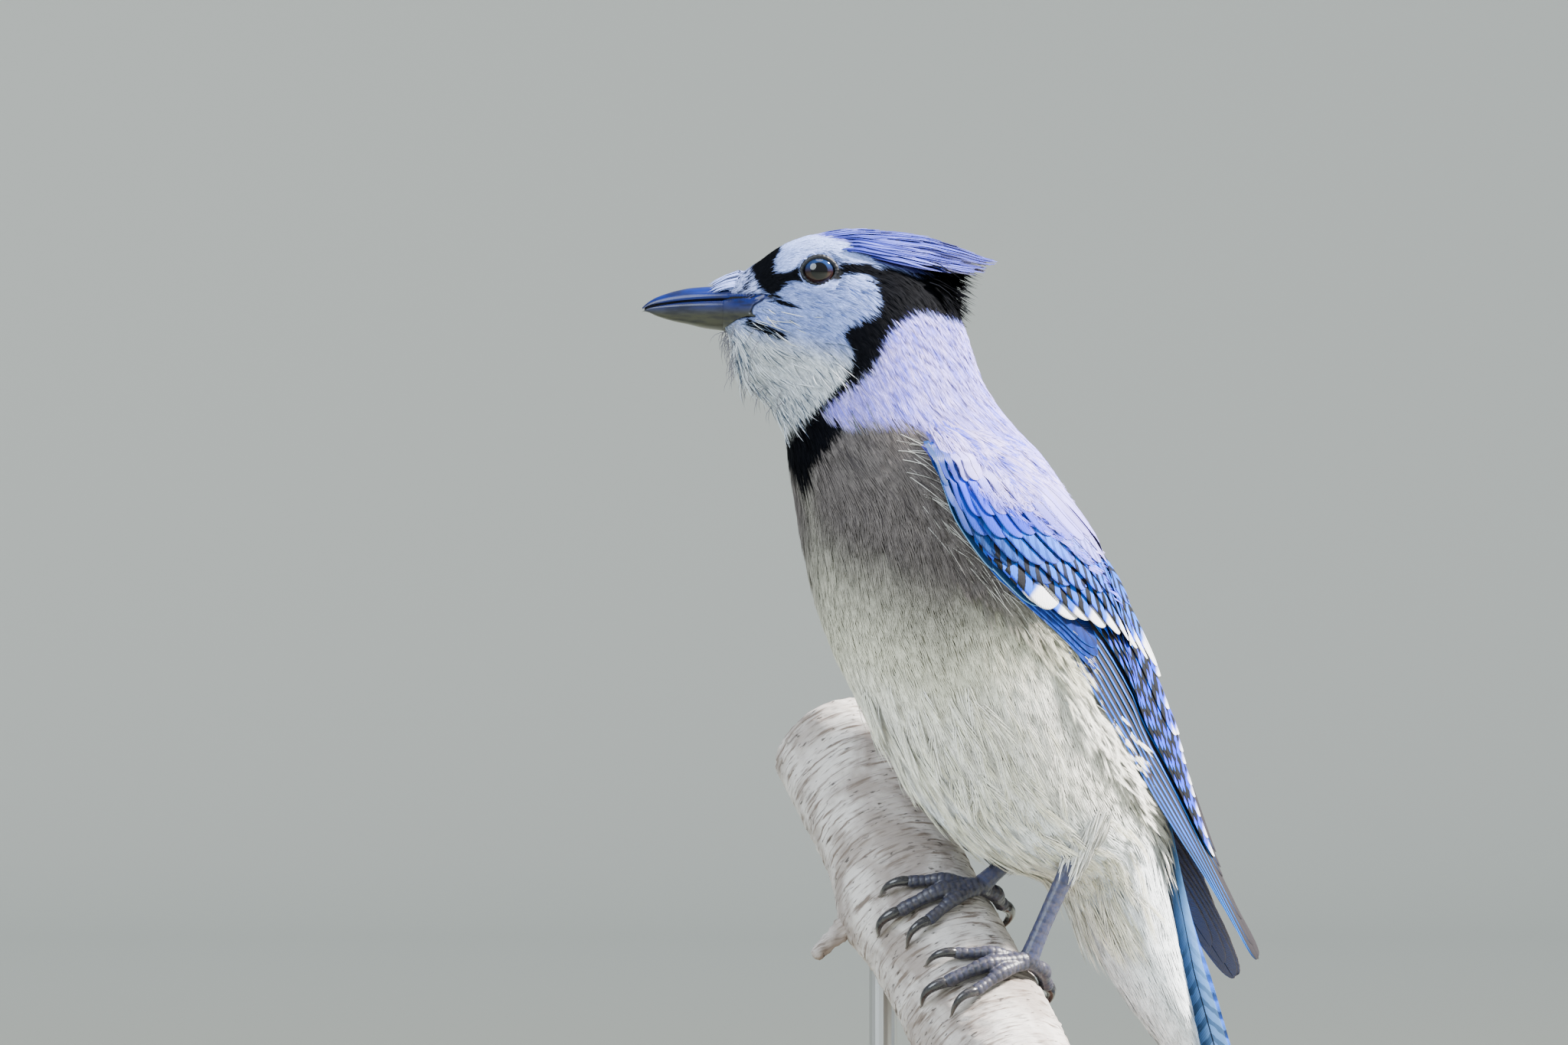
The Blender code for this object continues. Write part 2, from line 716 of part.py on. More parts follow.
def build_tail(finish):
    """Folded tail: six pairs of feathers, the middle pair on top, rooted in a short block."""
    along = Vector((math.cos(TAIL_ANGLE), 0.0, -math.sin(TAIL_ANGLE)))
    above = Vector((math.sin(TAIL_ANGLE), 0.0, math.cos(TAIL_ANGLE)))
    sideways = Vector((0.0, 1.0, 0.0))
    root_rings = []
    for place, half_width, half_depth in ((-5.0, 4.0, 1.5), (2.0, 6.5, 2.2), (12.0, 7.0, 1.9), (18.0, 6.0, 1.2)):
        ring = []
        for step in range(12):
            angle = 2 * math.pi * step / 12
            ring.append(TAIL_ROOT + along * place + sideways * half_width * math.cos(angle)
                        + above * (half_depth * math.sin(angle) - 1.6))
        root_rings.append(ring)
    tail = loft("tail", root_rings, finish)
    feathers = []
    for pair in range(TAIL_PAIRS):
        for side in (-1, 1):
            length = TAIL_LENGTH - TAIL_STEP * pair ** 2
            layer = -TAIL_LAYER * (pair + (0.5 if side > 0 else 0.0))
            spine = []
            for place in VANE_PLACES:
                offset = side * (0.7 + (pair + side * 0.07) * TAIL_SPREAD * (0.25 + 0.75 * place))
                rise = lerp(-1.7 + 0.11 * pair + 0.05 * side, layer, min(1.0, place / 0.3))
                bow = 3.0 * math.sin(math.pi * place)
                spine.append(TAIL_ROOT + along * (4.0 + (length - 4.0) * place) + sideways * offset
                             + above * (rise - bow * 0.3))
            widths = [TAIL_VANE_WIDTH * shape for shape in TAIL_SHAPE]
            tilt = math.radians(5.0) * side
            feathers.append(vane("feather", spine, [above] * len(spine), widths, VANE_THICKNESS, tilt, finish))
    combine(tail, feathers)
    return tail


def perch_frame():
    upward = Vector((0.0, 0.0, 1.0))
    top = (upward - PERCH_AXIS * upward.dot(PERCH_AXIS)).normalized()
    back = top.cross(PERCH_AXIS).normalized()
    if back.x < 0:
        back = -back
    return top, back


def perch_radius(along, angle):
    """Radius of the branch, thinner upwards and a little uneven."""
    even = PERCH_RADIUS + PERCH_TAPER * along
    knot = 2.6 * math.exp(-((along + 33.0) / 8.0) ** 2) * max(0.0, math.cos(angle + 2.1)) ** 4
    wave = 0.28 * math.sin(angle * 2 + along * 0.05) + 0.18 * math.sin(angle * 3 - along * 0.11)
    return even + knot + wave


def perch_point(along, angle, height):
    top, back = perch_frame()
    outward = top * math.cos(angle) + back * math.sin(angle)
    return PERCH_POINT + PERCH_AXIS * along + outward * (perch_radius(along, angle) + height)


def build_perch(name, grow, finish):
    rings = []
    count = round((PERCH_END - PERCH_START) / PERCH_STEP)
    for number in range(count + 1):
        along = lerp(PERCH_START, PERCH_END, number / count)
        extra = grow * (-1 if number == 0 else 1 if number == count else 0)
        ring = []
        for step in range(PERCH_SIDES):
            angle = 2 * math.pi * step / PERCH_SIDES
            ring.append(perch_point(along, angle, grow) + PERCH_AXIS * extra)
        rings.append(ring)
    return loft(name, rings, finish)


def foot_joint(side_name):
    along, degrees = FEET[side_name]
    return perch_point(along, math.radians(degrees), TOES[1][4] + 0.5)


def build_foot(side_name, finish, claw_finish, bark):
    """Four toes and an ankle fused at the joint, each toe with a claw of its own."""
    along, degrees = FEET[side_name]
    outer = 1 if side_name == "left" else -1
    joint = foot_joint(side_name)
    foot = ball("foot_" + side_name, joint, TOES[1][4] * 1.18, finish, 2)
    toes = []
    for toe, way, fan, length, radius, claw in TOES:
        turn = -fan * outer if way < 0 else 0.0
        steps = 8
        centres = []
        radii = []
        for step in range(steps + 1):
            travel = length * step / steps
            angle = math.radians(degrees) + way * travel / (PERCH_RADIUS + radius)
            pad = 1.0 + 0.10 * math.cos(step * math.pi / 2)
            shift = turn * travel
            girth = radius * lerp(1.0, 0.78, step / steps) * pad
            centres.append(perch_point(along + shift, angle, girth + 0.1 + 0.4 * (1 - step / steps)))
            radii.append(girth)
        toes.append(tube("toe", centres, radii, 8, finish))
        start = math.radians(degrees) + way * (length + CLAW_GAP) / (PERCH_RADIUS + radius)
        claw_centres = []
        claw_radii = []
        for step in range(6):
            share = step / 5
            angle = start + way * claw * share / (PERCH_RADIUS + radius) * 0.92
            girth = radius * lerp(0.70, 0.10, share ** 0.8)
            arch = 1.5 * math.sin(math.pi * min(1.0, share * 1.15))
            claw_centres.append(perch_point(along + turn * (length + claw * share * 0.6), angle,
                                            girth + 0.15 + arch))
            claw_radii.append(girth)
        name = "claw_" + side_name + "_" + toe
        nail = tube(name, claw_centres, claw_radii, 8, claw_finish)
        combine(nail, [copy_of(bark)], "DIFFERENCE")
    way = TARSUS_DIRECTION[side_name]
    reach = ANKLE_LENGTH - GAP
    toes.append(tube("ankle", [joint, joint + way * reach * 0.5, joint + way * reach],
                     [TARSUS_RADIUS * 1.1, TARSUS_RADIUS * 1.02, TARSUS_RADIUS * 0.98], 10, finish))
    combine(foot, toes)
    combine(foot, [copy_of(bark)], "DIFFERENCE")
    return foot


def copy_of(item):
    made = item.copy()
    made.data = item.data.copy()
    bpy.context.scene.collection.objects.link(made)
    return made


def build_leg(side_name, scute_finish, down_finish, cutters):
    """Bare tarsus up from the foot, and the feathered thigh that meets the belly.

    The bird crouches on its right leg, whose thigh is wholly inside the belly's feathers.
    """
    joint = foot_joint(side_name)
    way = TARSUS_DIRECTION[side_name]
    length = TARSUS_LENGTH[side_name]
    centres = [joint + way * lerp(ANKLE_LENGTH, length, share) for share in (0.0, 0.12, 0.5, 0.85, 1.0)]
    radii = [TARSUS_RADIUS * share for share in (1.05, 0.95, 0.9, 1.0, 1.12)]
    tarsus = tube("tarsus_" + side_name, centres, radii, 10, scute_finish)
    combine(tarsus, [copy_of(cutter) for cutter in cutters], "DIFFERENCE")
    if side_name == "right":
        return
    start = joint + way * (length + GAP)
    knee = start + way * THIGH_LENGTH * 0.15
    centres = [start] + [knee + THIGH_DIRECTION * THIGH_LENGTH * share for share in (0.0, 0.4, 0.85)]
    radii = [lerp(*THIGH_RADIUS, share) for share in (0.0, 0.35, 0.8, 1.0)]
    thigh = tube("thigh_" + side_name, centres, radii, 14, down_finish)
    combine(thigh, [copy_of(cutter) for cutter in cutters], "DIFFERENCE")


def build_base(finish):
    """Flat rounded rectangle with a softened upper edge."""
    outline = []
    for corner, (sign_x, sign_y) in enumerate(((1, 1), (-1, 1), (-1, -1), (1, -1))):
        for step in range(7):
            angle = math.pi / 2 * (corner + step / 6)
            centre_x = sign_x * (BASE_LENGTH / 2 - BASE_CORNER)
            centre_y = sign_y * (BASE_WIDTH / 2 - BASE_CORNER)
            outline.append((centre_x, centre_y, math.cos(angle), math.sin(angle)))
    rings = []
    for height, inset in ((0.0, 0.0), (BASE_THICKNESS - BASE_EDGE, 0.0),
                          (BASE_THICKNESS - BASE_EDGE * 0.3, BASE_EDGE * 0.3),
                          (BASE_THICKNESS, BASE_EDGE)):
        ring = []
        for centre_x, centre_y, way_x, way_y in outline:
            reach = BASE_CORNER - inset
            ring.append(Vector((centre_x + way_x * reach, centre_y + way_y * reach, height)) - SHIFT)
        rings.append(ring)
    return loft("stand_base", rings, finish)


def build_rod(name, along, finish, bark):
    """Upright rod from the base to the underside of the branch, shaped to fit it."""
    foot = PERCH_POINT + PERCH_AXIS * along
    low = Vector((foot.x, foot.y, BASE_THICKNESS + GAP))
    high = Vector((foot.x, foot.y, foot.z))
    rod = tube(name, [low, low.lerp(high, 0.5), high], [ROD_RADIUS] * 3, 20, finish)
    combine(rod, [copy_of(bark)], "DIFFERENCE")
    return rod


def soften(item):
    item.data.shade_smooth()
    item.data.set_sharp_from_angle(angle=math.radians(40.0))


def main():
    clear_scene()
    lavender = material("lavender_plumage", (0.36, 0.38, 0.68), 0.7)
    white = material("white_plumage", (0.80, 0.80, 0.78), 0.8)
    grey = material("grey_plumage", (0.45, 0.42, 0.40), 0.8)
    blue = material("blue_plumage", (0.05, 0.19, 0.62), 0.5)
    blue_tail = material("tail_plumage", (0.06, 0.24, 0.62), 0.5)
    horn = material("horn", (0.05, 0.06, 0.08), 0.35)
    scale = material("leg_scales", (0.05, 0.06, 0.09), 0.45)
    claw = material("claw_horn", (0.03, 0.03, 0.04), 0.35)
    eye = material("eye", (0.03, 0.012, 0.006), 0.05)
    bark_finish = material("bark", (0.28, 0.25, 0.24), 0.9)
    wood = material("base_wood", (0.20, 0.10, 0.05), 0.45)
    steel = material("rod_steel", (0.60, 0.60, 0.60), 0.35, 1.0)

    body_cutter = body_length("body_cutter", NECK_END - 2.0, TORSO_END + 3.0, 0.5, grey, GAP)
    head = build_head(lavender)
    combine(head, crest_feathers(lavender) + nasal_feathers(lavender), solver="MANIFOLD")
    combine(head, [body_length("neck_cutter", HEAD_END, NECK_END, 0.5, lavender, GAP)],
            "DIFFERENCE", "MANIFOLD")
    build_bill(horn)
    for side_name, side in (("left", -1), ("right", 1)):
        build_eye(side_name, side, eye)
    body_length("neck", HEAD_END, NECK_END, 0.5, lavender)
    torso = body_length("torso", NECK_END, TORSO_END, 0.72, grey)
    rump = body_length("rump", TORSO_END, BODY_END, 0.7, white)

    tree = sight_tree([body_cutter])
    for side_name in ("left", "right"):
        wing = build_wing(side_name, tree, blue)
        combine(wing, [copy_of(body_cutter)], "DIFFERENCE", "MANIFOLD")
    tail = build_tail(blue_tail)
    rump_cutter = body_length("rump_cutter", TORSO_END - 3.0, BODY_END, 0.7, grey, GAP)
    combine(tail, [rump_cutter], "DIFFERENCE")

    bark = build_perch("bark_cutter", GAP, bark_finish)
    build_perch("perch", 0.0, bark_finish)
    for side_name in ("left", "right"):
        build_foot(side_name, scale, claw, bark)
        build_leg(side_name, scale, white, [body_cutter])
    build_base(wood)
    for name, along in ROD_PLACES.items():
        build_rod(name, along, steel, bark)

    for spare in (body_cutter, bark):
        bpy.data.objects.remove(spare, do_unlink=True)
    for item in bpy.data.objects:
        soften(item)


main()
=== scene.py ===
"""Looks of the perched blue jay: skin, plumage, bill, eyes, legs, branch and stand.

Sizes are in millimetres until a mesh is made. The body, wings and branch come from the
same named sizes as the solids. 'across' and 'height' are places in the profile view that
shows the head from its left, and PX turns the photograph's pixels into that view. 'place'
counts the rows of SECTIONS along the body, and 'angle' goes round it from the back.
"""
import math
from collections import namedtuple

import bmesh
import bpy
import numpy as np
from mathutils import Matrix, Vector, noise
from mathutils.bvhtree import BVHTree


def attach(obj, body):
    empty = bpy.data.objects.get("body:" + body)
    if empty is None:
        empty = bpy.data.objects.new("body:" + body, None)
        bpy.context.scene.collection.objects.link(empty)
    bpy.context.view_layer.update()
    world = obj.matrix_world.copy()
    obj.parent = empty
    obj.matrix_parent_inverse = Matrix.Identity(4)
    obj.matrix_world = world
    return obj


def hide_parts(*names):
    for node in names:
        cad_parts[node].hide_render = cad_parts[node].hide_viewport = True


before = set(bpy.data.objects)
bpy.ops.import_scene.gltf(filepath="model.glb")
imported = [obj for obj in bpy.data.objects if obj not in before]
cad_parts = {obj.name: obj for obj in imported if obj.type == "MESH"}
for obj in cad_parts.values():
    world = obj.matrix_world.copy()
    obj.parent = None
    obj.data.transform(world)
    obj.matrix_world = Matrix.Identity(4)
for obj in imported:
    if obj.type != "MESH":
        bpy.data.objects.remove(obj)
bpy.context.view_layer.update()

MM = 0.001
TAU = 2 * math.pi
UP = np.array((0.0, 0.0, 1.0))
MIRROR = np.array((1.0, -1.0, 1.0))
SIDES = {"left": -1, "right": 1}

# The photograph: mm a pixel, its size, the column where across is 0 and its top edge's height.
PX = 0.165
PHOTO_WIDTH, PHOTO_HEIGHT = 2048.0, 1365.0
PHOTO_COLUMN = 1300.0
PHOTO_TOP = 318.0

# How far the head is turned, and where; SHIFT brings the model over the middle of its base.
TURN = math.radians(28.0)
PIVOT_ACROSS = -20.6
HEAD_WAY = np.array((math.cos(TURN), -math.sin(TURN), 0.0))
HEAD_SIDE = np.array((math.sin(TURN), math.cos(TURN), 0.0))
SHIFT = np.array((-8.0, -6.0, 0.0))

# Sections of the body: across and height of the throat side, of the back, half width and
# share of the head's turn.
SECTIONS = (
    (-58.6, 246.6, -58.6, 256.3, 4.9, 1.00), (-57.6, 245.7, -55.0, 258.7, 6.4, 1.00),
    (-56.9, 244.4, -51.2, 261.2, 8.4, 1.00), (-56.4, 242.4, -46.2, 264.6, 10.3, 1.00),
    (-55.8, 239.8, -39.9, 267.0, 12.0, 1.00), (-54.8, 236.8, -32.2, 267.6, 13.4, 1.00),
    (-52.1, 234.3, -23.1, 266.2, 14.3, 1.00), (-49.5, 232.0, -15.2, 262.2, 14.7, 0.90),
    (-47.5, 229.4, -9.9, 255.5, 15.0, 0.75), (-46.2, 226.8, -6.9, 248.0, 15.6, 0.60),
    (-45.5, 223.1, -4.6, 241.3, 16.8, 0.40), (-44.9, 219.0, -2.0, 234.2, 18.8, 0.25),
    (-44.1, 214.0, 3.0, 226.9, 21.6, 0.10), (-42.9, 206.6, 10.7, 218.7, 24.4, 0.00),
    (-41.6, 197.9, 17.6, 208.3, 25.8, 0.00), (-38.9, 186.8, 22.0, 197.9, 26.2, 0.00),
    (-35.3, 177.3, 25.0, 187.5, 26.0, 0.00), (-30.5, 167.7, 27.8, 176.5, 25.2, 0.00),
    (-24.4, 157.1, 30.5, 166.0, 23.6, 0.00), (-16.8, 145.6, 32.8, 156.0, 21.2, 0.00),
    (-8.3, 137.3, 34.3, 148.5, 18.0, 0.00), (1.7, 131.8, 35.6, 142.5, 14.8, 0.00),
    (11.9, 128.6, 36.0, 136.3, 12.0, 0.00), (17.3, 121.5, 36.8, 127.5, 10.8, 0.00),
    (23.0, 111.5, 38.5, 116.5, 10.0, 0.00), (30.0, 101.0, 40.6, 105.0, 9.0, 0.00),
    (36.5, 92.5, 42.6, 95.5, 7.2, 0.00), (42.0, 85.5, 44.8, 87.0, 4.4, 0.00),
)
BODY_END = 27.0
ROUNDNESS = 2.15
FINE = 40

# Bill: across, heights of the mouth, of the ridge and of the lower edge, half width.
BILL = (
    (-55.0, 253.5, 256.6, 246.2, 5.2), (-59.0, 253.4, 256.2, 246.6, 4.7), (-62.7, 253.3, 256.0, 247.1, 4.0),
    (-66.0, 253.1, 255.7, 247.9, 3.2), (-69.3, 252.8, 255.0, 248.6, 2.4),
    (-72.6, 252.3, 253.9, 249.6, 1.5), (-74.6, 251.8, 252.8, 250.5, 0.9),
    (-76.0, 251.1, 251.6, 250.8, 0.35),
)
EYE_ACROSS = -38.0
EYE_HEIGHT = 259.3
EYE_SIDE = 8.9
EYE_RADIUS = 4.0

# Edges of the folded left wing: across, height and the way to the side.
WING_LOWER = (
    (-14.0, 220.6, -24.0), (-8.0, 204.0, -27.0), (2.0, 191.5, -27.5), (15.0, 179.0, -26.0),
    (25.0, 162.0, -20.5), (37.0, 142.5, -13.4), (46.5, 128.0, -9.0), (56.6, 110.4, -5.4),
)
WING_UPPER = (
    (3.0, 222.0, -15.0), (13.0, 209.0, -11.0), (23.5, 196.0, -5.0), (31.0, 182.0, -3.0),
    (37.6, 167.0, -2.2), (43.0, 152.0, -2.0), (48.5, 134.0, -2.4), (58.2, 112.0, -4.2),
)
WING_CLEARANCE = 0.9
WING_BULGE = 3.2
RIGHT_WING_DROOP = 4.5

TAIL_ROOT = np.array((40.0, 0.0, 146.0))
TAIL_ANGLE = math.radians(74.0)
TAIL_LENGTH = 128.0

PERCH_POINT = np.array((-4.3, 2.5, 100.0))
PERCH_AXIS = np.array((0.068, -0.683, -0.727))
PERCH_AXIS = PERCH_AXIS / np.linalg.norm(PERCH_AXIS)
PERCH_RADIUS = 15.0
PERCH_TAPER = 0.014
PERCH_START = -80.0
PERCH_END = 40.0

# Feet: place along the branch and degrees round it. A toe's way is -1 over the branch's front.
FEET = {"left": (0.8, 19.0), "right": (-21.2, 12.0)}
Toe = namedtuple("Toe", "name way fan length radius claw")
TOES = (
    Toe("inner", -1, -0.36, 15.5, 1.65, 7.0), Toe("middle", -1, 0.0, 20.5, 1.8, 8.0),
    Toe("outer", -1, 0.38, 15.5, 1.6, 7.0), Toe("hind", 1, 0.0, 12.0, 1.9, 9.0),
)
# Height of a foot's joint over the bark, and the shins and the left thigh that rise from there.
JOINT_HEIGHT = 2.3
TARSUS_LENGTH = {"left": 22.0, "right": 10.5}
TARSUS_DIRECTION = {"left": (0.394, -0.138, 0.909), "right": (0.80, -0.05, 0.60)}
TARSUS_RADIUS = 1.75
THIGH_LENGTH = 11.0
THIGH_DIRECTION = (0.05, 0.32, 0.95)


# Numbers and shapes

def lerp(first, second, share):
    return first + (second - first) * share


def ramp(value, low, high):
    """Smooth step from 0 at low to 1 at high."""
    share = np.clip((value - low) / (high - low), 0.0, 1.0)
    return share * share * (3 - 2 * share)


def between(rows, place, column=1):
    """Value between rows of numbers, whose first column is the place."""
    rows = np.asarray(rows, float)
    return np.interp(place, rows[:, 0], rows[:, column])


def curve(start, middle, end, share):
    """Point on the curve from start to end that leans towards middle."""
    return (1 - share) ** 2 * start + 2 * share * (1 - share) * middle + share ** 2 * end


def unit(vectors):
    return vectors / np.maximum(np.linalg.norm(vectors, axis=-1, keepdims=True), 1e-9)


def dot(first, second):
    return np.sum(first * second, axis=-1, keepdims=True)


def ring_of(sides):
    """Angles of the corners of a ring."""
    return np.arange(sides) / sides * TAU


def run_along(points):
    """Distance of each point of a line from its start."""
    return np.concatenate(((0.0,), np.cumsum(np.linalg.norm(np.diff(points, axis=0), axis=1))))


def tone(red, green, blue):
    """Linear colour from a display colour of 0 to 255."""
    shown = np.array((red, green, blue)) / 255.0
    return np.where(shown <= 0.04045, shown / 12.92, ((shown + 0.055) / 1.055) ** 2.4)


def blend(base, colour, share):
    return base + (colour - base) * np.asarray(share)[..., None]


def dense(rows):
    """Fine table of the Catmull-Rom curve through the rows."""
    rows = np.asarray(rows, float)
    last = len(rows) - 1
    places = np.linspace(0, last, last * FINE + 1)
    index = np.clip(places.astype(int), 0, last - 1)
    share = (places - index)[:, None]
    before, here = rows[np.maximum(index - 1, 0)], rows[index]
    after, beyond = rows[index + 1], rows[np.minimum(index + 2, last)]
    cubed, squared = share ** 3, share ** 2
    return (here * (2 * cubed - 3 * squared + 1) + after * (3 * squared - 2 * cubed)
            + (after - before) / 2 * (cubed - 2 * squared + share)
            + (beyond - here) / 2 * (cubed - squared))


def look_up(table, place):
    """Rows of a fine table at places counted in its coarse steps."""
    spot = np.clip(np.asarray(place, float) * FINE, 0, len(table) - 1)
    low = np.minimum(spot.astype(int), len(table) - 2)
    share = (spot - low)[..., None]
    return table[low] * (1 - share) + table[low + 1] * share


BODY_TABLE = dense(SECTIONS)
BILL_TABLE = dense(BILL)
LOWER_TABLE = dense(WING_LOWER)
UPPER_TABLE = dense(WING_UPPER)


def head_point(across, height, side):
    """Point beside the head's middle plane, for numbers or arrays."""
    across, height, side = np.broadcast_arrays(across, height, side)
    pivot = PIVOT_ACROSS / math.cos(TURN)
    run = across - PIVOT_ACROSS
    return np.stack((pivot + math.cos(TURN) * run + math.sin(TURN) * side,
                     -math.sin(TURN) * run + math.cos(TURN) * side, height + 0.0 * run), -1)


def surface(place, angle, grow):
    """Point of the body at a section, an angle from the back and a height over the surface."""
    place, angle, grow = np.broadcast_arrays(place, angle, grow)
    low_a, low_h, high_a, high_h, half, turn = np.moveaxis(look_up(BODY_TABLE, place), -1, 0)
    turn = np.clip(turn, 0.0, 1.0)
    run = (low_a + high_a) / 2 - PIVOT_ACROSS
    way_x = lerp(1.0 / math.cos(TURN), math.cos(TURN), turn)
    way_y = lerp(0.0, -math.sin(TURN), turn)
    centre = np.stack((PIVOT_ACROSS / math.cos(TURN) + way_x * run, way_y * run,
                       (low_h + high_h) / 2), -1)
    swing = TURN * turn
    rise = (high_h - low_h) * lerp(1.0 / math.cos(TURN), 1.0, turn)
    depth = unit(np.stack((np.cos(swing) * (high_a - low_a), -np.sin(swing) * (high_a - low_a),
                           rise), -1))
    side = np.stack((np.sin(swing), np.cos(swing), 0.0 * swing), -1)
    half_depth = np.hypot(high_a - low_a, high_h - low_h) / 2
    cosine, sine = np.cos(angle), np.sin(angle)
    reach_depth = np.sign(cosine) * np.abs(cosine) ** (2 / ROUNDNESS) * (half_depth + grow)
    reach_side = np.sign(sine) * np.abs(sine) ** (2 / ROUNDNESS) * (half + grow)
    return centre + depth * reach_depth[..., None] + side * reach_side[..., None]


def profile(points):
    """Pixel of the photograph where a point shows."""
    across = points[..., 0] * math.cos(TURN) - points[..., 1] * math.sin(TURN)
    return np.stack((PHOTO_COLUMN + across / PX, (PHOTO_TOP - points[..., 2]) / PX), -1)


def left_pixel(place, angle):
    """Pixel of the body's point, or of its twin on the left side."""
    twin = np.where(np.sin(angle) > 0, -angle, angle)
    return profile(surface(place, twin, 0.0))


def body_spots(pixels, places, angles):
    """Places and angles where the body's left side shows at the given pixels, off a fine grid."""
    place, angle = np.meshgrid(np.linspace(*places), np.linspace(*angles), indexing="ij")
    seen = profile(surface(place, angle, 0.0)).reshape(-1, 2)
    nearest = [np.argmin(((seen - pixel) ** 2).sum(-1)) for pixel in pixels]
    return place.ravel()[nearest], angle.ravel()[nearest]


def mask(pixels, corners, soft):
    """1 inside a polygon of pixels and 0 outside, over a soft edge as wide as given."""
    corners = np.array(corners, float)
    following = np.roll(corners, -1, 0)
    inside = np.zeros(pixels.shape[:-1], bool)
    nearest = np.full(pixels.shape[:-1], 1e9)
    x, y = pixels[..., 0], pixels[..., 1]
    for (ax, ay), (bx, by) in zip(corners, following):
        crossing = (ay > y) != (by > y)
        with np.errstate(divide="ignore", invalid="ignore"):
            level = (bx - ax) * (y - ay) / (by - ay) + ax
        inside ^= crossing & (x < level)
        share = ((x - ax) * (bx - ax) + (y - ay) * (by - ay)) / ((bx - ax) ** 2 + (by - ay) ** 2)
        share = np.clip(share, 0.0, 1.0)
        nearest = np.minimum(nearest, np.hypot(x - ax - share * (bx - ax), y - ay - share * (by - ay)))
    return ramp(np.where(inside, nearest, -nearest), -soft / 2, soft / 2)


# The knot of the branch: place along it and angle round it, height, length and narrowness.
KNOT_ALONG, KNOT_ANGLE = -33.0, -2.1
KNOT_HEIGHT, KNOT_LENGTH, KNOT_NARROWNESS = 2.6, 8.0, 4
PERCH_WAVES = (0.28, 0.18)


def perch_frame():
    """Ways from the branch's axis up and to its back."""
    top = unit(UP - PERCH_AXIS * PERCH_AXIS[2])
    back = unit(np.cross(top, PERCH_AXIS))
    return top, back if back[0] > 0 else -back


def perch_point(along, angle, height):
    """Point over the branch at a place along it and an angle from its top towards its back."""
    along, angle, height = np.broadcast_arrays(along, angle, height)
    top, back = perch_frame()
    outward = top * np.cos(angle)[..., None] + back * np.sin(angle)[..., None]
    swell = np.exp(-((along - KNOT_ALONG) / KNOT_LENGTH) ** 2)
    knot = KNOT_HEIGHT * swell * np.maximum(0.0, np.cos(angle - KNOT_ANGLE)) ** KNOT_NARROWNESS
    wave = (PERCH_WAVES[0] * np.sin(angle * 2 + along * 0.05)
            + PERCH_WAVES[1] * np.sin(angle * 3 - along * 0.11))
    radius = PERCH_RADIUS + PERCH_TAPER * along + knot + wave
    return PERCH_POINT + PERCH_AXIS * along[..., None] + outward * (radius + height)[..., None]


def foot_joint(side_name):
    along, degrees = FEET[side_name]
    return perch_point(along, math.radians(degrees), JOINT_HEIGHT)


def leg_way(side_name):
    return unit(np.array(TARSUS_DIRECTION[side_name]))


# Markings: outlines of the colour fields, in pixels of the photograph

LORE = ((980, 352), (992, 337), (1003, 320), (1022, 314), (1020, 330), (1014, 341), (1014, 355), (1024, 358),
        (1036, 354), (1048, 346), (1052, 372), (1038, 368), (1028, 376), (1020, 385), (1008, 388), (998, 382),
        (990, 373))
EYE_LINE = ((1083, 342), (1097, 349), (1114, 346), (1130, 346), (1146, 348), (1146, 368), (1130, 361),
            (1114, 361), (1100, 365), (1088, 370))
GAPE_LINE = ((1006, 386), (1018, 387), (1028, 394), (1044, 402), (1042, 408), (1024, 401), (1010, 393))
MALAR = ((978, 419), (1007, 428), (1031, 438), (1028, 447), (1004, 440), (977, 429))
MOUTH_LINE = ((930, 390), (960, 388), (1012, 388), (1014, 391), (960, 391), (930, 393))
BARE = ((930, 372), (948, 382), (975, 384), (1000, 385), (1013, 389), (1010, 392), (996, 395), (986, 401),
        (982, 409), (989, 418), (975, 417), (962, 421), (951, 429), (930, 442))
NASAL = ((936, 378), (944, 370), (960, 359), (984, 346), (990, 366), (994, 384), (948, 382))
COLLAR = ((1140, 354), (1160, 350), (1200, 363), (1262, 360), (1300, 372), (1300, 428), (1268, 429),
          (1243, 421), (1200, 411), (1170, 430), (1158, 447), (1141, 487), (1107, 517), (1088, 529),
          (1079, 541), (1077, 552), (1103, 561), (1092, 580), (1070, 606), (1062, 630), (1054, 656),
          (1040, 680), (980, 660), (990, 590), (1020, 582), (1043, 564), (1067, 537), (1093, 510),
          (1113, 480), (1115, 467), (1102, 438), (1107, 430), (1130, 423), (1146, 413), (1150, 397))
CROWN = ((1040, 304), (1083, 311), (1107, 321), (1127, 334), (1158, 350), (1200, 363), (1262, 360),
         (1340, 372), (1340, 250), (1000, 250), (1030, 300))
MANTLE = ((1268, 429), (1243, 421), (1200, 411), (1170, 430), (1158, 447), (1141, 487), (1107, 517),
          (1088, 529), (1079, 541), (1077, 552), (1103, 561), (1140, 558), (1200, 560), (1216, 573),
          (1262, 640), (1330, 720), (1400, 800), (1480, 900), (1560, 1050), (1800, 1300),
          (1800, 400), (1300, 428))
# Black fields, each with the width of its soft edge.
BLACK_FIELDS = ((LORE, 4), (EYE_LINE, 4), (COLLAR, 6), (GAPE_LINE, 3), (MALAR, 3), (BARE, 3))

# Rows and columns of pixels over which one field of colour passes into the next. The throat's
# and the breast's borders rise with their slope from a start column.
CHEEK_ROWS = (352, 380)
THROAT_ROWS, THROAT_SLOPE, THROAT_START = (405, 455), 0.25, 950
BREAST_ROWS, BREAST_SLOPE, BREAST_START = (535, 575), -0.15, 1100
UNDERTAIL_ROWS, UNDERTAIL_SLOPE, UNDERTAIL_START = (1010, 1100), 0.2, 1300
LIT_BREAST_COLUMNS = (1075, 1035)
REAR_CROWN_COLUMNS = (1065, 1120)
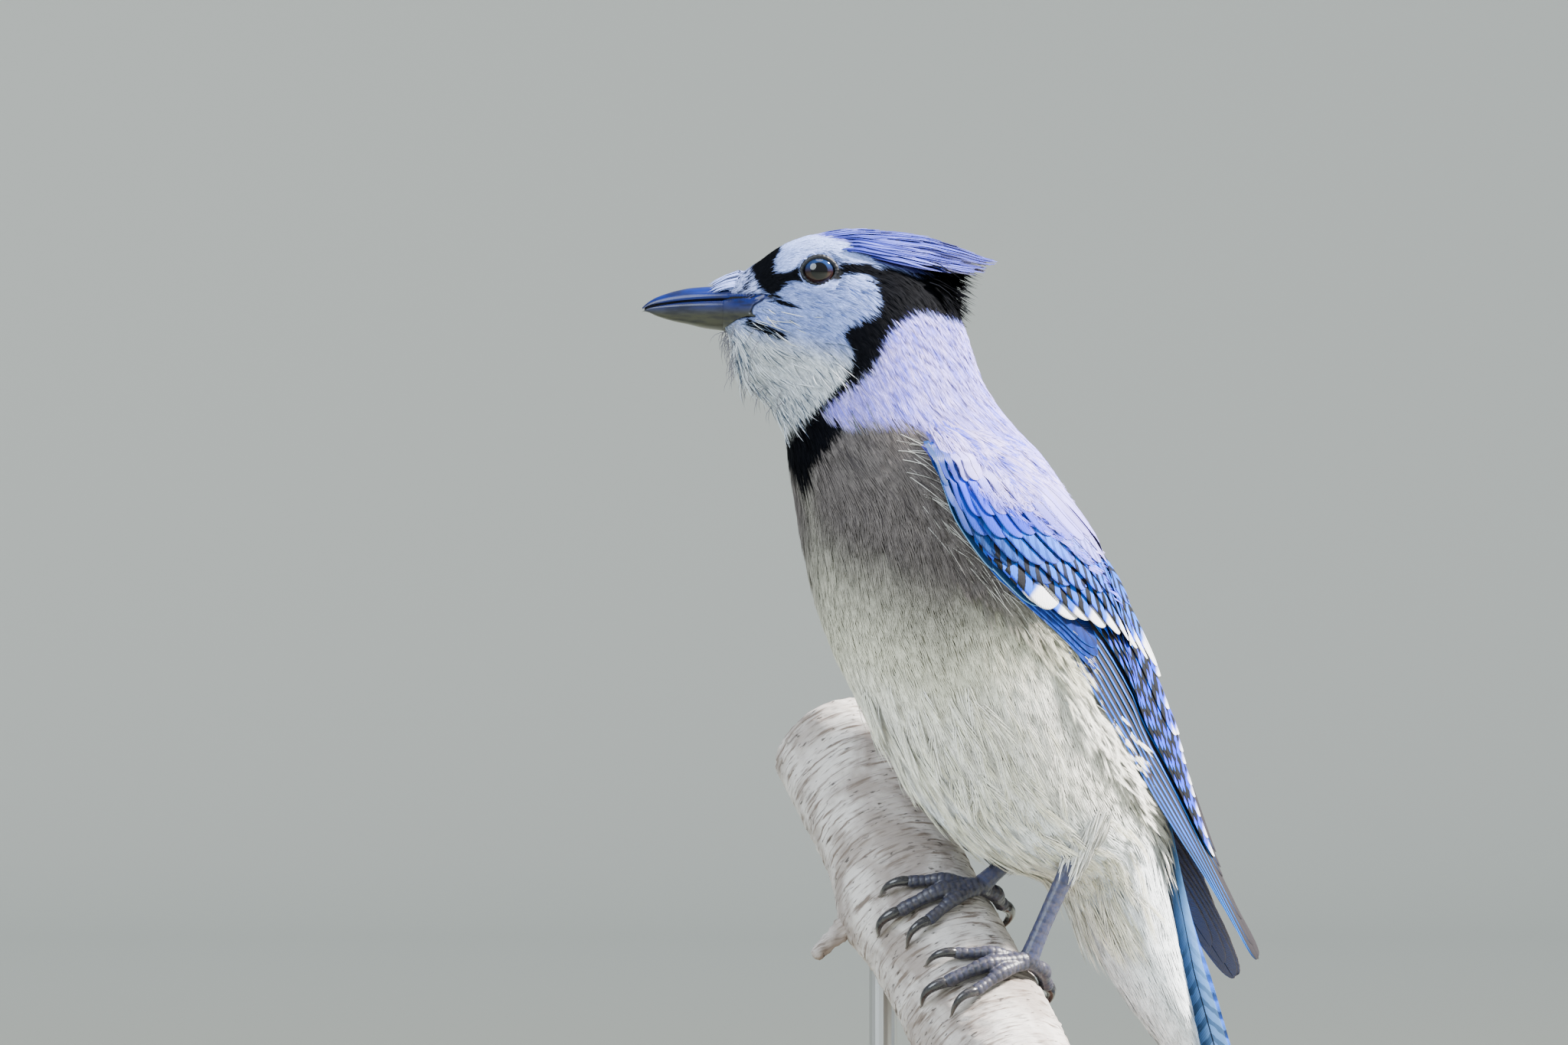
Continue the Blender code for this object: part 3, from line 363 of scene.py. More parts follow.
# The grey breast pales to cream below this line, which rises again beside the wing.
CREAM_LINE = ((1040, 725), (1110, 780), (1230, 830), (1300, 800), (1360, 765), (1420, 750))
CREAM_FADE = (-90, 130)
WHITE_FADE = (60, 170)

BLACK = tone(4, 5, 10)
WHITE_FACE = tone(166, 186, 250)
STREAK_FACE = tone(50, 70, 130)
NASAL_PALE = tone(170, 182, 236)
THROAT = tone(206, 211, 216)
THROAT_STREAK = tone(92, 104, 122)
LAVENDER = tone(88, 92, 226)
LAVENDER_PINK = tone(192, 178, 244)
CROWN_BLUE = tone(70, 84, 226)
CROWN_DEEP = tone(16, 20, 84)
GREY_BREAST = tone(102, 96, 94)
GREY_DEEP = tone(34, 31, 36)
CREAM = tone(226, 224, 202)
BELLY_WHITE = tone(238, 236, 228)
PURE_WHITE = tone(244, 249, 254)


def plumage(place, angle, luck):
    """Colour of the coat at a place on the body; luck is one random number per feather."""
    pixels = left_pixel(place, angle)
    x, y = pixels[..., 0], pixels[..., 1]
    streak = np.abs(luck * 2 - 1) ** 1.5
    cheek = ramp(y, *CHEEK_ROWS)
    face = blend(WHITE_FACE, STREAK_FACE, lerp(0.4, 1.0, cheek) * streak)
    face = blend(face, STREAK_FACE, 0.30 * cheek)
    throat = blend(THROAT, THROAT_STREAK, 0.85 * streak)
    colour = blend(face, throat, ramp(y - THROAT_SLOPE * (x - THROAT_START), *THROAT_ROWS))
    below = y - between(CREAM_LINE, x)
    grey = blend(GREY_BREAST, GREY_DEEP, 0.75 * streak)
    grey = blend(grey, CREAM, 0.25 * ramp(x, *LIT_BREAST_COLUMNS))
    grey = blend(grey, CREAM, 0.9 * ramp(below, *CREAM_FADE))
    grey = blend(grey, BELLY_WHITE, ramp(below, *WHITE_FADE))
    grey = blend(grey, PURE_WHITE, ramp(y - UNDERTAIL_SLOPE * (x - UNDERTAIL_START), *UNDERTAIL_ROWS))
    colour = blend(colour, grey, ramp(y - BREAST_SLOPE * (x - BREAST_START), *BREAST_ROWS))
    colour = blend(colour, blend(LAVENDER, LAVENDER_PINK, luck), mask(pixels, MANTLE, 12))
    crown = blend(CROWN_BLUE, LAVENDER_PINK, luck * 0.8)
    crown = blend(crown, CROWN_DEEP, 0.85 * ramp(x, *REAR_CROWN_COLUMNS))
    colour = blend(colour, crown, mask(pixels, CROWN, 10))
    colour = blend(colour, blend(NASAL_PALE, BLACK, ramp(luck, 0.55, 0.7)), mask(pixels, NASAL, 4))
    black = np.maximum.reduce([mask(pixels, field, soft) for field, soft in BLACK_FIELDS])
    return blend(colour, BLACK, black)


# Making meshes

# Size of a lock in the bake map, and how far its sides are lit as if they turned away.
LOCK_PATCH = 0.003
LOCK_ROUNDNESS = 0.38


def new_mesh(name, points, triangles, finish, uv=None, colours=None, extras=()):
    """Object from arrays: points in mm, triangles, one bake position and colour a vertex."""
    mesh = bpy.data.meshes.new(name)
    mesh.vertices.add(len(points))
    mesh.vertices.foreach_set("co", ((points + SHIFT) * MM).astype(np.float32).ravel())
    triangles = np.asarray(triangles, np.int32)
    mesh.loops.add(triangles.size)
    mesh.loops.foreach_set("vertex_index", triangles.ravel())
    mesh.polygons.add(len(triangles))
    mesh.polygons.foreach_set("loop_start", np.arange(0, triangles.size, 3, dtype=np.int32))
    mesh.polygons.foreach_set("use_smooth", np.ones(len(triangles), bool))
    mesh.update(calc_edges=True)
    if uv is not None:
        layer = mesh.uv_layers.new(name="OFBake")
        layer.data.foreach_set("uv", uv[triangles.ravel()].astype(np.float32).ravel())
    if colours is not None:
        paint(mesh, colours)
    for label, values in extras:
        layer = mesh.attributes.new(label, "FLOAT", "POINT")
        layer.data.foreach_set("value", np.asarray(values, np.float32).ravel())
    mesh.materials.append(finish)
    made = bpy.data.objects.new(name, mesh)
    bpy.context.scene.collection.objects.link(made)
    return made


def paint(mesh, colours):
    """Store one colour a vertex."""
    full = np.ones((len(mesh.vertices), 4), np.float32)
    full[:, :3] = colours
    layer = mesh.color_attributes.new("Col", "FLOAT_COLOR", "POINT")
    layer.data.foreach_set("color", full.ravel())


def piece(item, slot, *nodes):
    """Attach an object to the model's root, and hide the solids that it replaces."""
    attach(item, "root")
    if nodes:
        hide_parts(*nodes)
    return item


def tufts(name, spine, outward, width, thick, roots, colours, finish, slot):
    """Pointed locks with a three-cornered section, one to each row of the spine array."""
    count, steps = spine.shape[:2]
    ahead = np.concatenate((spine[:, 1:], spine[:, -1:]), 1)
    behind = np.concatenate((spine[:, :1], spine[:, :-1]), 1)
    along = unit(ahead - behind)
    outward = unit(outward - along * dot(outward, along))
    sideways = np.cross(along, outward)
    rings = steps - 1
    body = spine[:, :rings]
    lean = sideways[:, :rings] * (width[:, :rings, None] / 2)
    ridge = outward[:, :rings] * thick[:, :rings, None]
    corners = np.stack((body - lean, body + lean, body + ridge), 2).reshape(count, rings * 3, 3)
    points = np.concatenate((corners, spine[:, -1:]), 1)
    size = rings * 3 + 1
    pattern = [(0, 2, 1)]
    for ring in range(rings - 1):
        for first, second in ((0, 1), (1, 2), (2, 0)):
            a, b = ring * 3 + first, ring * 3 + second
            pattern += [(a, b, b + 3), (a, b + 3, a + 3)]
    top = (rings - 1) * 3
    pattern += [(top, top + 1, size - 1), (top + 1, top + 2, size - 1), (top + 2, top, size - 1)]
    pattern = np.array(pattern, np.int32)[:, ::-1]
    triangles = (pattern[None] + (np.arange(count) * size)[:, None, None]).reshape(-1, 3)
    # Each lock has a small patch of its own in the bake map, round the place of its root.
    local = np.zeros((size, 2))
    for ring in range(rings):
        local[ring * 3:ring * 3 + 3, 0] = (-0.5, 0.5, 0.0)
        local[ring * 3:ring * 3 + 3, 1] = ring / rings - 0.5
    local[-1] = (0.0, 0.5)
    uv = (roots[:, None] + local[None] * LOCK_PATCH).reshape(-1, 2)
    if colours.ndim == 2:
        colours = np.repeat(colours[:, None], steps, 1)
    shades = np.concatenate((np.repeat(colours[:, :rings], 3, 1), colours[:, -1:]), 1).reshape(-1, 3)
    made = new_mesh(name, points.reshape(-1, 3), triangles, finish, uv, shades)
    # Each lock is lit like the smooth plumage it lies in, with a slight roundness of its own.
    round_off = sideways[:, :rings] * LOCK_ROUNDNESS
    face_ways = np.stack((outward[:, :rings] - round_off, outward[:, :rings] + round_off,
                          outward[:, :rings]), 2).reshape(count, rings * 3, 3)
    face_ways = unit(np.concatenate((face_ways, outward[:, -1:]), 1)).reshape(-1, 3)
    made.data.normals_split_custom_set_from_vertices(face_ways.tolist())
    return piece(made, slot)


def tube(centres, radii, sides):
    """Points and triangles of a closed round tube; radii may be one per ring or per vertex."""
    centres = np.asarray(centres, float)
    count = len(centres)
    along = unit(np.gradient(centres, axis=0))
    side = np.zeros((count, 3))
    side[0] = unit(np.cross(along[0], (0.3, 0.8, 0.5)))
    for row in range(1, count):
        side[row] = unit(side[row - 1] - along[row] * np.dot(side[row - 1], along[row]))
    other = np.cross(along, side)
    turn = ring_of(sides)
    radii = np.asarray(radii, float)
    radii = radii[:, None] if radii.ndim == 1 else radii
    ring = side[:, None] * np.cos(turn)[None, :, None] + other[:, None] * np.sin(turn)[None, :, None]
    points = centres[:, None] + ring * radii[..., None]
    return points.reshape(-1, 3), loft_faces(count, sides)


def loft_faces(rows, sides, hoop=False):
    """Triangles over rings of equal count, with fans at both ends or, in a hoop, no ends."""
    spans = rows if hoop else rows - 1
    row, column = np.meshgrid(np.arange(spans), np.arange(sides), indexing="ij")
    a, b = row * sides + column, row * sides + (column + 1) % sides
    c, d = ((row + 1) % rows * sides + (column + step) % sides for step in (1, 0))
    faces = [np.stack(corners, -1).reshape(-1, 3) for corners in ((a, b, c), (a, c, d))]
    if not hoop:
        fan = np.arange(1, sides - 1)
        faces.append(np.stack((0 * fan, fan + 1, fan), -1))
        faces.append(np.stack((0 * fan, fan, fan + 1), -1) + (rows - 1) * sides)
    return np.concatenate(faces)


def join(parts):
    """One points and triangles pair from several."""
    points = np.concatenate([part[0] for part in parts])
    shift = np.cumsum([0] + [len(part[0]) for part in parts[:-1]])
    return points, np.concatenate([part[1] + step for part, step in zip(parts, shift)])


def lowest_first(face):
    """The same triangle, told from its lowest corner on."""
    start = face.index(min(face))
    return face[start:] + face[:start]


def outward_faces(item):
    """Turn every face of an object outwards."""
    work = bmesh.new()
    work.from_mesh(item.data)
    bmesh.ops.recalc_face_normals(work, faces=work.faces)
    work.to_mesh(item.data)
    work.free()
    return item


def apply_modifier(item, kind, **settings):
    """Give an object the mesh that a modifier makes of it."""
    modifier = item.modifiers.new("shape", kind)
    for label, value in settings.items():
        setattr(modifier, label, value)
    graph = bpy.context.evaluated_depsgraph_get()
    item.data = bpy.data.meshes.new_from_object(item.evaluated_get(graph))
    item.modifiers.clear()


# Materials

class Finish:
    """A procedural material, built node by node."""

    def __init__(self, name, roughness, specular=0.5, **sockets):
        self.made = bpy.data.materials.new(name)
        self.made.use_nodes = True
        self.tree = self.made.node_tree
        self.shader = self.tree.nodes["Principled BSDF"]
        self.shader.inputs["Roughness"].default_value = roughness
        self.shader.inputs["Specular IOR Level"].default_value = specular
        for label, value in sockets.items():
            self.shader.inputs[label.replace("_", " ")].default_value = value
        self.place = self.node("ShaderNodeTexCoord").outputs["Object"]

    def node(self, kind, **settings):
        made = self.tree.nodes.new(kind)
        for label, value in settings.items():
            setattr(made, label, value)
        return made

    def feed(self, socket, value):
        if hasattr(value, "links"):
            self.tree.links.new(value, socket)
        else:
            socket.default_value = value

    def noise(self, scale, detail=3.0, stretch=None, distortion=0.0, place=None):
        made = self.node("ShaderNodeTexNoise")
        made.inputs["Scale"].default_value = scale
        made.inputs["Detail"].default_value = detail
        made.inputs["Distortion"].default_value = distortion
        source = place or self.place
        if stretch:
            mapping = self.node("ShaderNodeMapping")
            mapping.inputs["Scale"].default_value = stretch
            self.feed(mapping.inputs["Vector"], source)
            source = mapping.outputs["Vector"]
        self.feed(made.inputs["Vector"], source)
        return made.outputs["Fac"]

    def math(self, operation, first, second=0.0, third=0.0, clamp=False):
        made = self.node("ShaderNodeMath", operation=operation, use_clamp=clamp)
        for socket, value in zip(made.inputs, (first, second, third)):
            self.feed(socket, value)
        return made.outputs[0]

    def span(self, value, low, high, out_low=0.0, out_high=1.0):
        made = self.node("ShaderNodeMapRange", interpolation_type="SMOOTHSTEP")
        for socket, number in zip(made.inputs, (value, low, high, out_low, out_high)):
            self.feed(socket, number)
        return made.outputs[0]

    def mix(self, share, first, second, kind="MIX"):
        made = self.node("ShaderNodeMix", data_type="RGBA", blend_type=kind)
        self.feed(made.inputs["Factor"], share)
        for socket, value in ((made.inputs[6], first), (made.inputs[7], second)):
            self.feed(socket, (*value, 1.0) if not hasattr(value, "links") else value)
        return made.outputs[2]

    def parts(self, vector):
        made = self.node("ShaderNodeSeparateXYZ")
        self.feed(made.inputs[0], vector)
        return made.outputs

    def attribute(self, label, output="Color"):
        return self.node("ShaderNodeAttribute", attribute_name=label).outputs[output]

    def bump(self, height, strength, distance):
        made = self.node("ShaderNodeBump")
        made.inputs["Strength"].default_value = strength
        made.inputs["Distance"].default_value = distance
        self.feed(made.inputs["Height"], height)
        self.feed(self.shader.inputs["Normal"], made.outputs["Normal"])

    def colour(self, value):
        self.feed(self.shader.inputs["Base Color"], value)
        return self.made


def coat_finish():
    made = Finish("coat", 0.72, 0.05)
    patch = made.span(made.noise(260.0), 0.3, 0.7, 0.86, 1.10)
    fine = made.span(made.noise(2600.0, 2.0), 0.3, 0.7, 0.88, 1.10)
    value = made.math("MULTIPLY", patch, fine)
    vector = made.node("ShaderNodeCombineXYZ")
    for socket in vector.inputs:
        made.feed(socket, value)
    return made.colour(made.mix(1.0, made.attribute("Col"), vector.outputs[0], "MULTIPLY"))


def skin_finish():
    made = Finish("skin", 0.75, 0.3)
    fine = made.noise(1500.0, 4.0)
    made.bump(fine, 0.4, 0.0004)
    dark = made.mix(1.0, made.attribute("Col"), (0.55, 0.55, 0.6), "MULTIPLY")
    return made.colour(made.mix(made.span(fine, 0.35, 0.65), dark, made.attribute("Col")))


INNER_WEB = tone(42, 38, 42)
BAR_BLACK = tone(12, 13, 20)
SHAFT_DARK = tone(24, 22, 28)
BARB_BEAT = 11000.0
BARB_SLANT = -0.007


def feather_finish():
    """Vane with fine barbs, a shaft and dark bars where the vertices ask for them."""
    made = Finish("vane", 0.45, 0.3)
    across, along = made.parts(made.node("ShaderNodeUVMap", uv_map="Feather").outputs[0])[:2]
    centre = made.math("ABSOLUTE", made.math("SUBTRACT", across, 0.5))
    # Barbs slant away from the shaft on both webs.
    slant = made.math("ADD", along, made.math("MULTIPLY", centre, BARB_SLANT))
    barb = made.math("SINE", made.math("MULTIPLY", slant, BARB_BEAT))
    ragged = made.noise(900.0, 3.0)
    barb = made.math("ADD", made.math("MULTIPLY", barb, 0.5), made.math("MULTIPLY", ragged, 0.9))
    bar_place = made.math("ADD", slant, made.math("MULTIPLY", made.noise(500.0, 3.0), 0.0016))
    wave = made.math("SINE", made.math("MULTIPLY_ADD", bar_place, made.attribute("beat", "Fac"),
                                       made.attribute("phase", "Fac")))
    wanted = made.attribute("bars", "Fac")
    wave = made.math("ADD", wave, made.math("MULTIPLY", wanted, 0.4))
    bars = made.math("MULTIPLY", made.span(wave, 0.32, 0.50), made.math("MULTIPLY", wanted, 1.4), clamp=True)
    inner = made.span(made.math("SUBTRACT", across, made.attribute("split", "Fac")), 0.0, 0.03)
    shade = made.mix(made.span(barb, 0.0, 1.1, 0.22, 0.0), made.attribute("Col"), (0.0, 0.0, 0.004))
    shade = made.mix(inner, shade, INNER_WEB)
    shade = made.mix(bars, shade, BAR_BLACK)
    shaft = made.math("MULTIPLY", made.span(centre, 0.035, 0.012), made.attribute("shaft", "Fac"))
    shade = made.mix(shaft, shade, SHAFT_DARK)
    made.bump(barb, 0.35, 0.00012)
    return made.colour(shade)


# Body and coat

def slopes(sheet, first, second, steps=(0.03, 0.015)):
    """How a sheet's point moves for each unit of its first and of its second place."""
    step_a, step_b = steps
    along = (sheet(first + step_a, second, 0.0) - sheet(first - step_a, second, 0.0)) / (2 * step_a)
    around = (sheet(first, second + step_b, 0.0) - sheet(first, second - step_b, 0.0)) / (2 * step_b)
    return along, around


def bake_spot(place, angle):
    """Where the bake map shows a place on the body."""
    return np.stack((angle / TAU, place / BODY_END), -1)


# How deep the skin lies under the coat's surface, by the place along the body.
SKIN_DEPTH = ((0.0, 0.35), (2.0, 0.6), (5.0, 0.9), (9.0, 1.4), (13.0, 1.9), (20.0, 1.8), (27.0, 1.2))
SKIN_ROWS, SKIN_SIDES, SKIN_LUCK = 210, 120, 0.4
# Swellings and hollows of the head: column, row, half width and half height in pixels, rise in mm.
BROW = (1078, 327, 45, 9, 0.7)
CHEEK = (1100, 405, 40, 28, 0.8)
LORE_HOLLOW = (1030, 364, 16, 9, -0.7)
EYE_HOLLOW = (1070, 356, 25, 22, -0.9)
CHIN = (1030, 430, 40, 22, 0.5)
HEAD_END = (9.5, 6.5)

THIGH_ROWS, THIGH_SIDES = 14, 20
THIGH_GIRTH = ((0, 1.8), (0.3, 2.2), (0.8, 3.6), (1.0, 4.4))
THIGH_SPOT = 0.6


def relief(place, angle):
    """Brow, cheek and eye hollow on the head, in mm over the plain form."""
    pixels = left_pixel(place, angle)
    raised = 0.0
    for x, y, wide, tall, rise in (BROW, CHEEK, LORE_HOLLOW, EYE_HOLLOW, CHIN):
        raised = raised + rise * np.exp(-((pixels[..., 0] - x) / wide) ** 2
                                        - ((pixels[..., 1] - y) / tall) ** 2)
    return raised * ramp(place, *HEAD_END)


def thigh_line():
    way = leg_way("left")
    rise = unit(np.array(THIGH_DIRECTION))
    start = foot_joint("left") + way * TARSUS_LENGTH["left"]
    knee = start + way * THIGH_LENGTH * 0.15
    return np.array([start] + [knee + rise * THIGH_LENGTH * share for share in (0.0, 0.4, 0.9)])


def build_skin(finish):
    """Body without a seam, with the left thigh fused on."""
    place = np.linspace(0.0, BODY_END, SKIN_ROWS)[:, None]
    angle = ring_of(SKIN_SIDES)[None]
    depth = between(SKIN_DEPTH, place) - relief(place, angle)
    points = surface(place, angle, -depth).reshape(-1, 3)
    place, angle = np.broadcast_arrays(place, angle)
    colours = plumage(place, angle, np.full(place.shape, SKIN_LUCK)).reshape(-1, 3)
    body = new_mesh("skin", points, loft_faces(SKIN_ROWS, SKIN_SIDES), finish,
                    bake_spot(place, angle).reshape(-1, 2), colours)
    outward_faces(body)
    line = thigh_line()
    shares = np.linspace(0, 1, THIGH_ROWS)
    centres = np.stack([np.interp(shares * 3, range(4), line[:, axis]) for axis in range(3)], -1)
    points, faces = tube(centres, between(THIGH_GIRTH, shares), THIGH_SIDES)
    thigh = outward_faces(new_mesh("thigh", points, faces, finish, np.full((len(points), 2), THIGH_SPOT),
                                   np.broadcast_to(BELLY_WHITE, points.shape)))
    apply_modifier(body, "BOOLEAN", object=thigh, operation="UNION", solver="EXACT")
    bpy.data.objects.remove(thigh, do_unlink=True)
    body.data.shade_smooth()
    return piece(body, "grey_plumage", "head", "neck", "torso", "rump", "thigh_left")


def scatter(draw, density, columns=260, rows=700):
    """Places and angles over the body, spread by its area times a density for each sq. mm."""
    angles = (np.arange(columns) + 0.5) / columns * TAU
    places = np.linspace(0.05, BODY_END - 0.05, rows)
    place, angle = np.meshgrid(places, angles, indexing="ij")
    along, around = slopes(surface, place, angle)
    area = np.linalg.norm(np.cross(along, around), axis=-1) * (TAU / columns) * (places[1] - places[0])
    total = np.cumsum(area * density(place, angle), 0)
    found_place, found_angle = [], []
    for column in range(columns):
        whole = total[-1, column]
        count = int(whole + draw.random())
        if count == 0:
            continue
        marks = (np.arange(count) + draw.random(count)) * whole / count
        found_place.append(np.interp(marks, total[:, column], places))
        found_angle.append(angles[column] + (draw.random(count) - 0.5) * TAU / columns)
    return np.concatenate(found_place), np.concatenate(found_angle)


# Feather sizes along the body: section, length, half width, barb width, height of the tips.
COAT_SIZES = (
    (0.0, 2.2, 0.34, 0.19, 0.12), (1.5, 3.0, 0.42, 0.20, 0.13), (4.0, 4.8, 0.55, 0.22, 0.13),
    (7.0, 7.0, 0.74, 0.25, 0.14), (10.0, 9.5, 0.95, 0.28, 0.16), (14.0, 11.0, 1.15, 0.32, 0.20),
    (18.0, 12.5, 1.5, 0.36, 0.3), (22.0, 15.0, 1.8, 0.40, 0.3), (27.0, 16.0, 1.8, 0.40, 0.2),
)
# Feathers on a patch as long as one feather and half as wide, and where the pieces part.
COAT_COVER = 6.3
COAT_GROUPS = (4.2, 6.6, 9.5, 12.5, 15.5, 18.5, 21.5)
# Pixels where the folded wing hides the body.
WING_COVER = ((1262, 640), (1310, 700), (1370, 735), (1440, 760), (1500, 850), (1560, 990), (1600, 1120),
              (1640, 1220), (1560, 1130), (1500, 1010), (1440, 930), (1395, 830), (1330, 770), (1275, 710))
# Under the crest, right of this column, the coat is thinner. Round the eye there is none.
CREST_START = 1075
CREST_THINNING = 0.75
EYE_PIXEL = (1070, 356)
EYE_CLEARING = 4.3
EYE_RIM = 4.15
# Length of one more section past the last, for feathers that reach over the body's end.
LAST_STRETCH = 9.0

PAIRS = 4
BARBS = PAIRS * 2
STEPS = np.array((0.0, 0.5, 1.0))
# The barbs of a feather fan from ROOTS_END along its shaft to a rounded edge.
ROOTS_END = 0.62
EDGE_START, EDGE_RISE = 0.66, 0.34
NARROWEST = 0.12
BARB_BEND = (0.42, 0.62)
BARB_JITTER = (0.04, 0.07)
# Widths and shades of a barb from its root to its tip; the dark root is painted shade.
BARB_WIDTHS = np.array((0.9, 1.0, 0.0))
BARB_THICKNESS = 0.24
BARB_SHADES = np.array((0.58, 0.96, 1.06))
PIECE_LIMIT = 12000


def coat_density(place, angle):
    """Feathers for each sq. mm of body, fewer under the crest and none where others cover it."""
    pixels = left_pixel(place, angle)
    density = COAT_COVER / (between(COAT_SIZES, place, 1) * between(COAT_SIZES, place, 2))
    eye = np.hypot(pixels[..., 0] - EYE_PIXEL[0], pixels[..., 1] - EYE_PIXEL[1]) * PX
    bare = mask(pixels, BARE, 1.0) * (place < 6.0)
    crest = mask(pixels, CROWN, 1.0) * (pixels[..., 0] > CREST_START) * (place < 9.0)
    density = density * (1 - mask(pixels, WING_COVER, 1.0)) * (eye > EYE_CLEARING)
    return density * (1 - bare) * (1 - CREST_THINNING * crest)


def clear_of_eye(points):
    """Push points that lie over an eye to its rim."""
    pixels = profile(points)
    x = (pixels[..., 0] - PHOTO_COLUMN) * PX - EYE_ACROSS
    z = points[..., 2] - EYE_HEIGHT
    far = np.maximum(np.hypot(x, z), 1e-6)
    push = np.maximum(EYE_RIM / far - 1.0, 0.0)
    return points + (x * push)[..., None] * HEAD_WAY + (z * push)[..., None] * UP


LAST_WAY = unit(surface(np.array(BODY_END), 0.0, 0.0) - surface(np.array(BODY_END - 0.5), 0.0, 0.0))


def coat_sheet(place, angle, height):
    """The body's surface with the head's relief, and straight on past the last section."""
    over = np.maximum(place - BODY_END, 0.0)
    place = np.clip(place, 0.0, BODY_END)
    points = surface(place, angle, height + relief(place, angle)) + over[..., None] * LAST_STRETCH * LAST_WAY
    return np.where((place < 9.0)[..., None], clear_of_eye(points), points)


def barbed(draw, sheet, first, second, length, half, depth, tip, sway, steps=(0.03, 0.015), turn=0.0):
    """Feathers on a sheet, each a short shaft with barbs fanning to a rounded edge.

    Gives the spine and the outward way of every barb, feather by feather, and the places
    on the sheet where its outer part shows.
    """
    count = len(first)
    length, half, depth, tip = (np.broadcast_to(value, count) for value in (length, half, depth, tip))
    along, around = slopes(sheet, first, second, steps)
    normal = unit(np.cross(along, around))
    lie = unit(along)
    cross = np.cross(normal, lie)
    sway = (draw.normal(0, sway, count) + turn)[:, None]
    lie = lie * np.cos(sway) + cross * np.sin(sway)
    cross = np.cross(normal, lie)
    rank = np.repeat(np.linspace(0.0, 1.0, PAIRS), 2)
    sign = np.tile((-1.0, 1.0), PAIRS)
    # Roots, bends and ends of the barbs, as x along the shaft and y beside it.
    start_x = rank[None] * ROOTS_END * length[:, None]
    end_x = length[:, None] * (EDGE_START + EDGE_RISE * np.sin(rank * math.pi / 2))[None]
    end_x = end_x + draw.normal(0, BARB_JITTER[0], (count, BARBS)) * length[:, None]
    fan = sign * (NARROWEST + (1 - NARROWEST) * np.cos(rank * math.pi / 2 * 0.93))
    end_y = fan[None] * half[:, None]
    end_y = end_y + draw.normal(0, BARB_JITTER[1], (count, BARBS)) * half[:, None]
    bend_x = start_x + (end_x - start_x) * BARB_BEND[0]
    bend_y = end_y * BARB_BEND[1]
    x = curve(start_x[..., None], bend_x[..., None], end_x[..., None], STEPS[None, None])
    y = curve(0.0, bend_y[..., None], end_y[..., None], STEPS[None, None])
    # Sizes in mm become steps of the sheet's own places through its slopes.
    pp, pa, aa = dot(along, along), dot(along, around), dot(around, around)
    spread = np.maximum(pp * aa - pa * pa, 1e-9)
    spots = [first[:, None, None], second[:, None, None]]
    for way, size in ((lie, x), (cross, y)):
        spots[0] = spots[0] + size * ((dot(along, way) * aa - dot(around, way) * pa) / spread)[..., None]
        spots[1] = spots[1] + size * ((dot(around, way) * pp - dot(along, way) * pa) / spread)[..., None]
    share = np.clip(x / length[:, None, None], 0, 1.1)
    lift = lerp(-depth[:, None, None] - 0.15, tip[:, None, None], share ** 0.55)
    lift = lift + draw.normal(0, 0.03, (count, BARBS, 1))
    shape = (count * BARBS, len(STEPS))
    spot_p, spot_a, lift = (value.reshape(shape) for value in (*spots, lift))
    spine = sheet(spot_p, spot_a, lift)
    outward = sheet(spot_p, spot_a, lift + 1.0) - spine
    return spine, outward, (spot_p[:, 1:].mean(1), spot_a[:, 1:].mean(1))


def barb_shapes(fine, count):
    """Widths and thicknesses of the barbs of so many feathers."""
    width = np.repeat(np.broadcast_to(fine, count), BARBS)[:, None] * BARB_WIDTHS[None]
    return width, width * BARB_THICKNESS


def barb_luck(draw, count, own):
    """Random numbers for barbs, partly their feather's and partly their own."""
    return np.repeat(draw.random(count), BARBS) * (1 - own) + draw.random(count * BARBS) * own


def barb_shades(colours):
    """Colours from the shaded root to the bright tip of each barb."""
    return colours[:, None] * BARB_SHADES[None, :, None]


def in_pieces(label, chosen, arrays, finish, slot):
    """Locks in pieces under the limit; arrays are those that tufts takes after its name."""
    pick = np.nonzero(chosen)[0]
    for part in range(0, len(pick), PIECE_LIMIT):
        some = pick[part:part + PIECE_LIMIT]
        name = label + (f"_{part // PIECE_LIMIT}" if len(pick) > PIECE_LIMIT else "")
        tufts(name, *(values[some] for values in arrays), finish, slot)


def build_coat(finish):
    """Small feathers all over the body, in pieces by length of the body and by side."""
    draw = np.random.default_rng(5)
    place, angle = scatter(draw, coat_density)
    count = len(place)
    length, half, fine, tip = (between(COAT_SIZES, place, column) for column in range(1, 5))
    length = length * draw.uniform(0.85, 1.15, count)
    half = half * draw.uniform(0.85, 1.15, count)
    tip = tip + draw.normal(0, 0.05, count)
    depth = between(SKIN_DEPTH, place)
    spine, outward, shown = barbed(draw, coat_sheet, place, angle, length, half, depth, tip, 0.10)
    luck = barb_luck(draw, count, 0.4)
    shades = barb_shades(plumage(np.clip(shown[0], 0.0, BODY_END), shown[1], luck))
    place, angle = np.repeat(place, BARBS), np.repeat(angle, BARBS) % TAU
    arrays = (spine, outward, *barb_shapes(fine, count), bake_spot(place, angle), shades)
    front = (angle > math.pi * 0.6) & (angle < math.pi * 1.4)
    group = np.digitize(place, COAT_GROUPS)
    for number in range(len(COAT_GROUPS) + 1):
        for label, side in (("front", front), ("back", ~front)):
            in_pieces(f"coat_{label}_{number}", (group == number) & side, arrays, finish, "grey_plumage")


# Vanes

VANE_STEPS = 26
VANE_COLUMNS = 9
CELL_MARGIN = 0.04
UNDERSIDE = tone(112, 102, 102)
UNDERSIDE_TINT = 0.8
NO_SPLIT = 2.0
# Undersides have faint bars and one even colour from edge to edge.
BARS_BELOW = 0.4
Look = namedtuple("Look", "thick camber under tint", defaults=(UNDERSIDE, UNDERSIDE_TINT))
Vane = namedtuple("Vane", "spine outward sideways low high colours run bars beat phase split shaft")


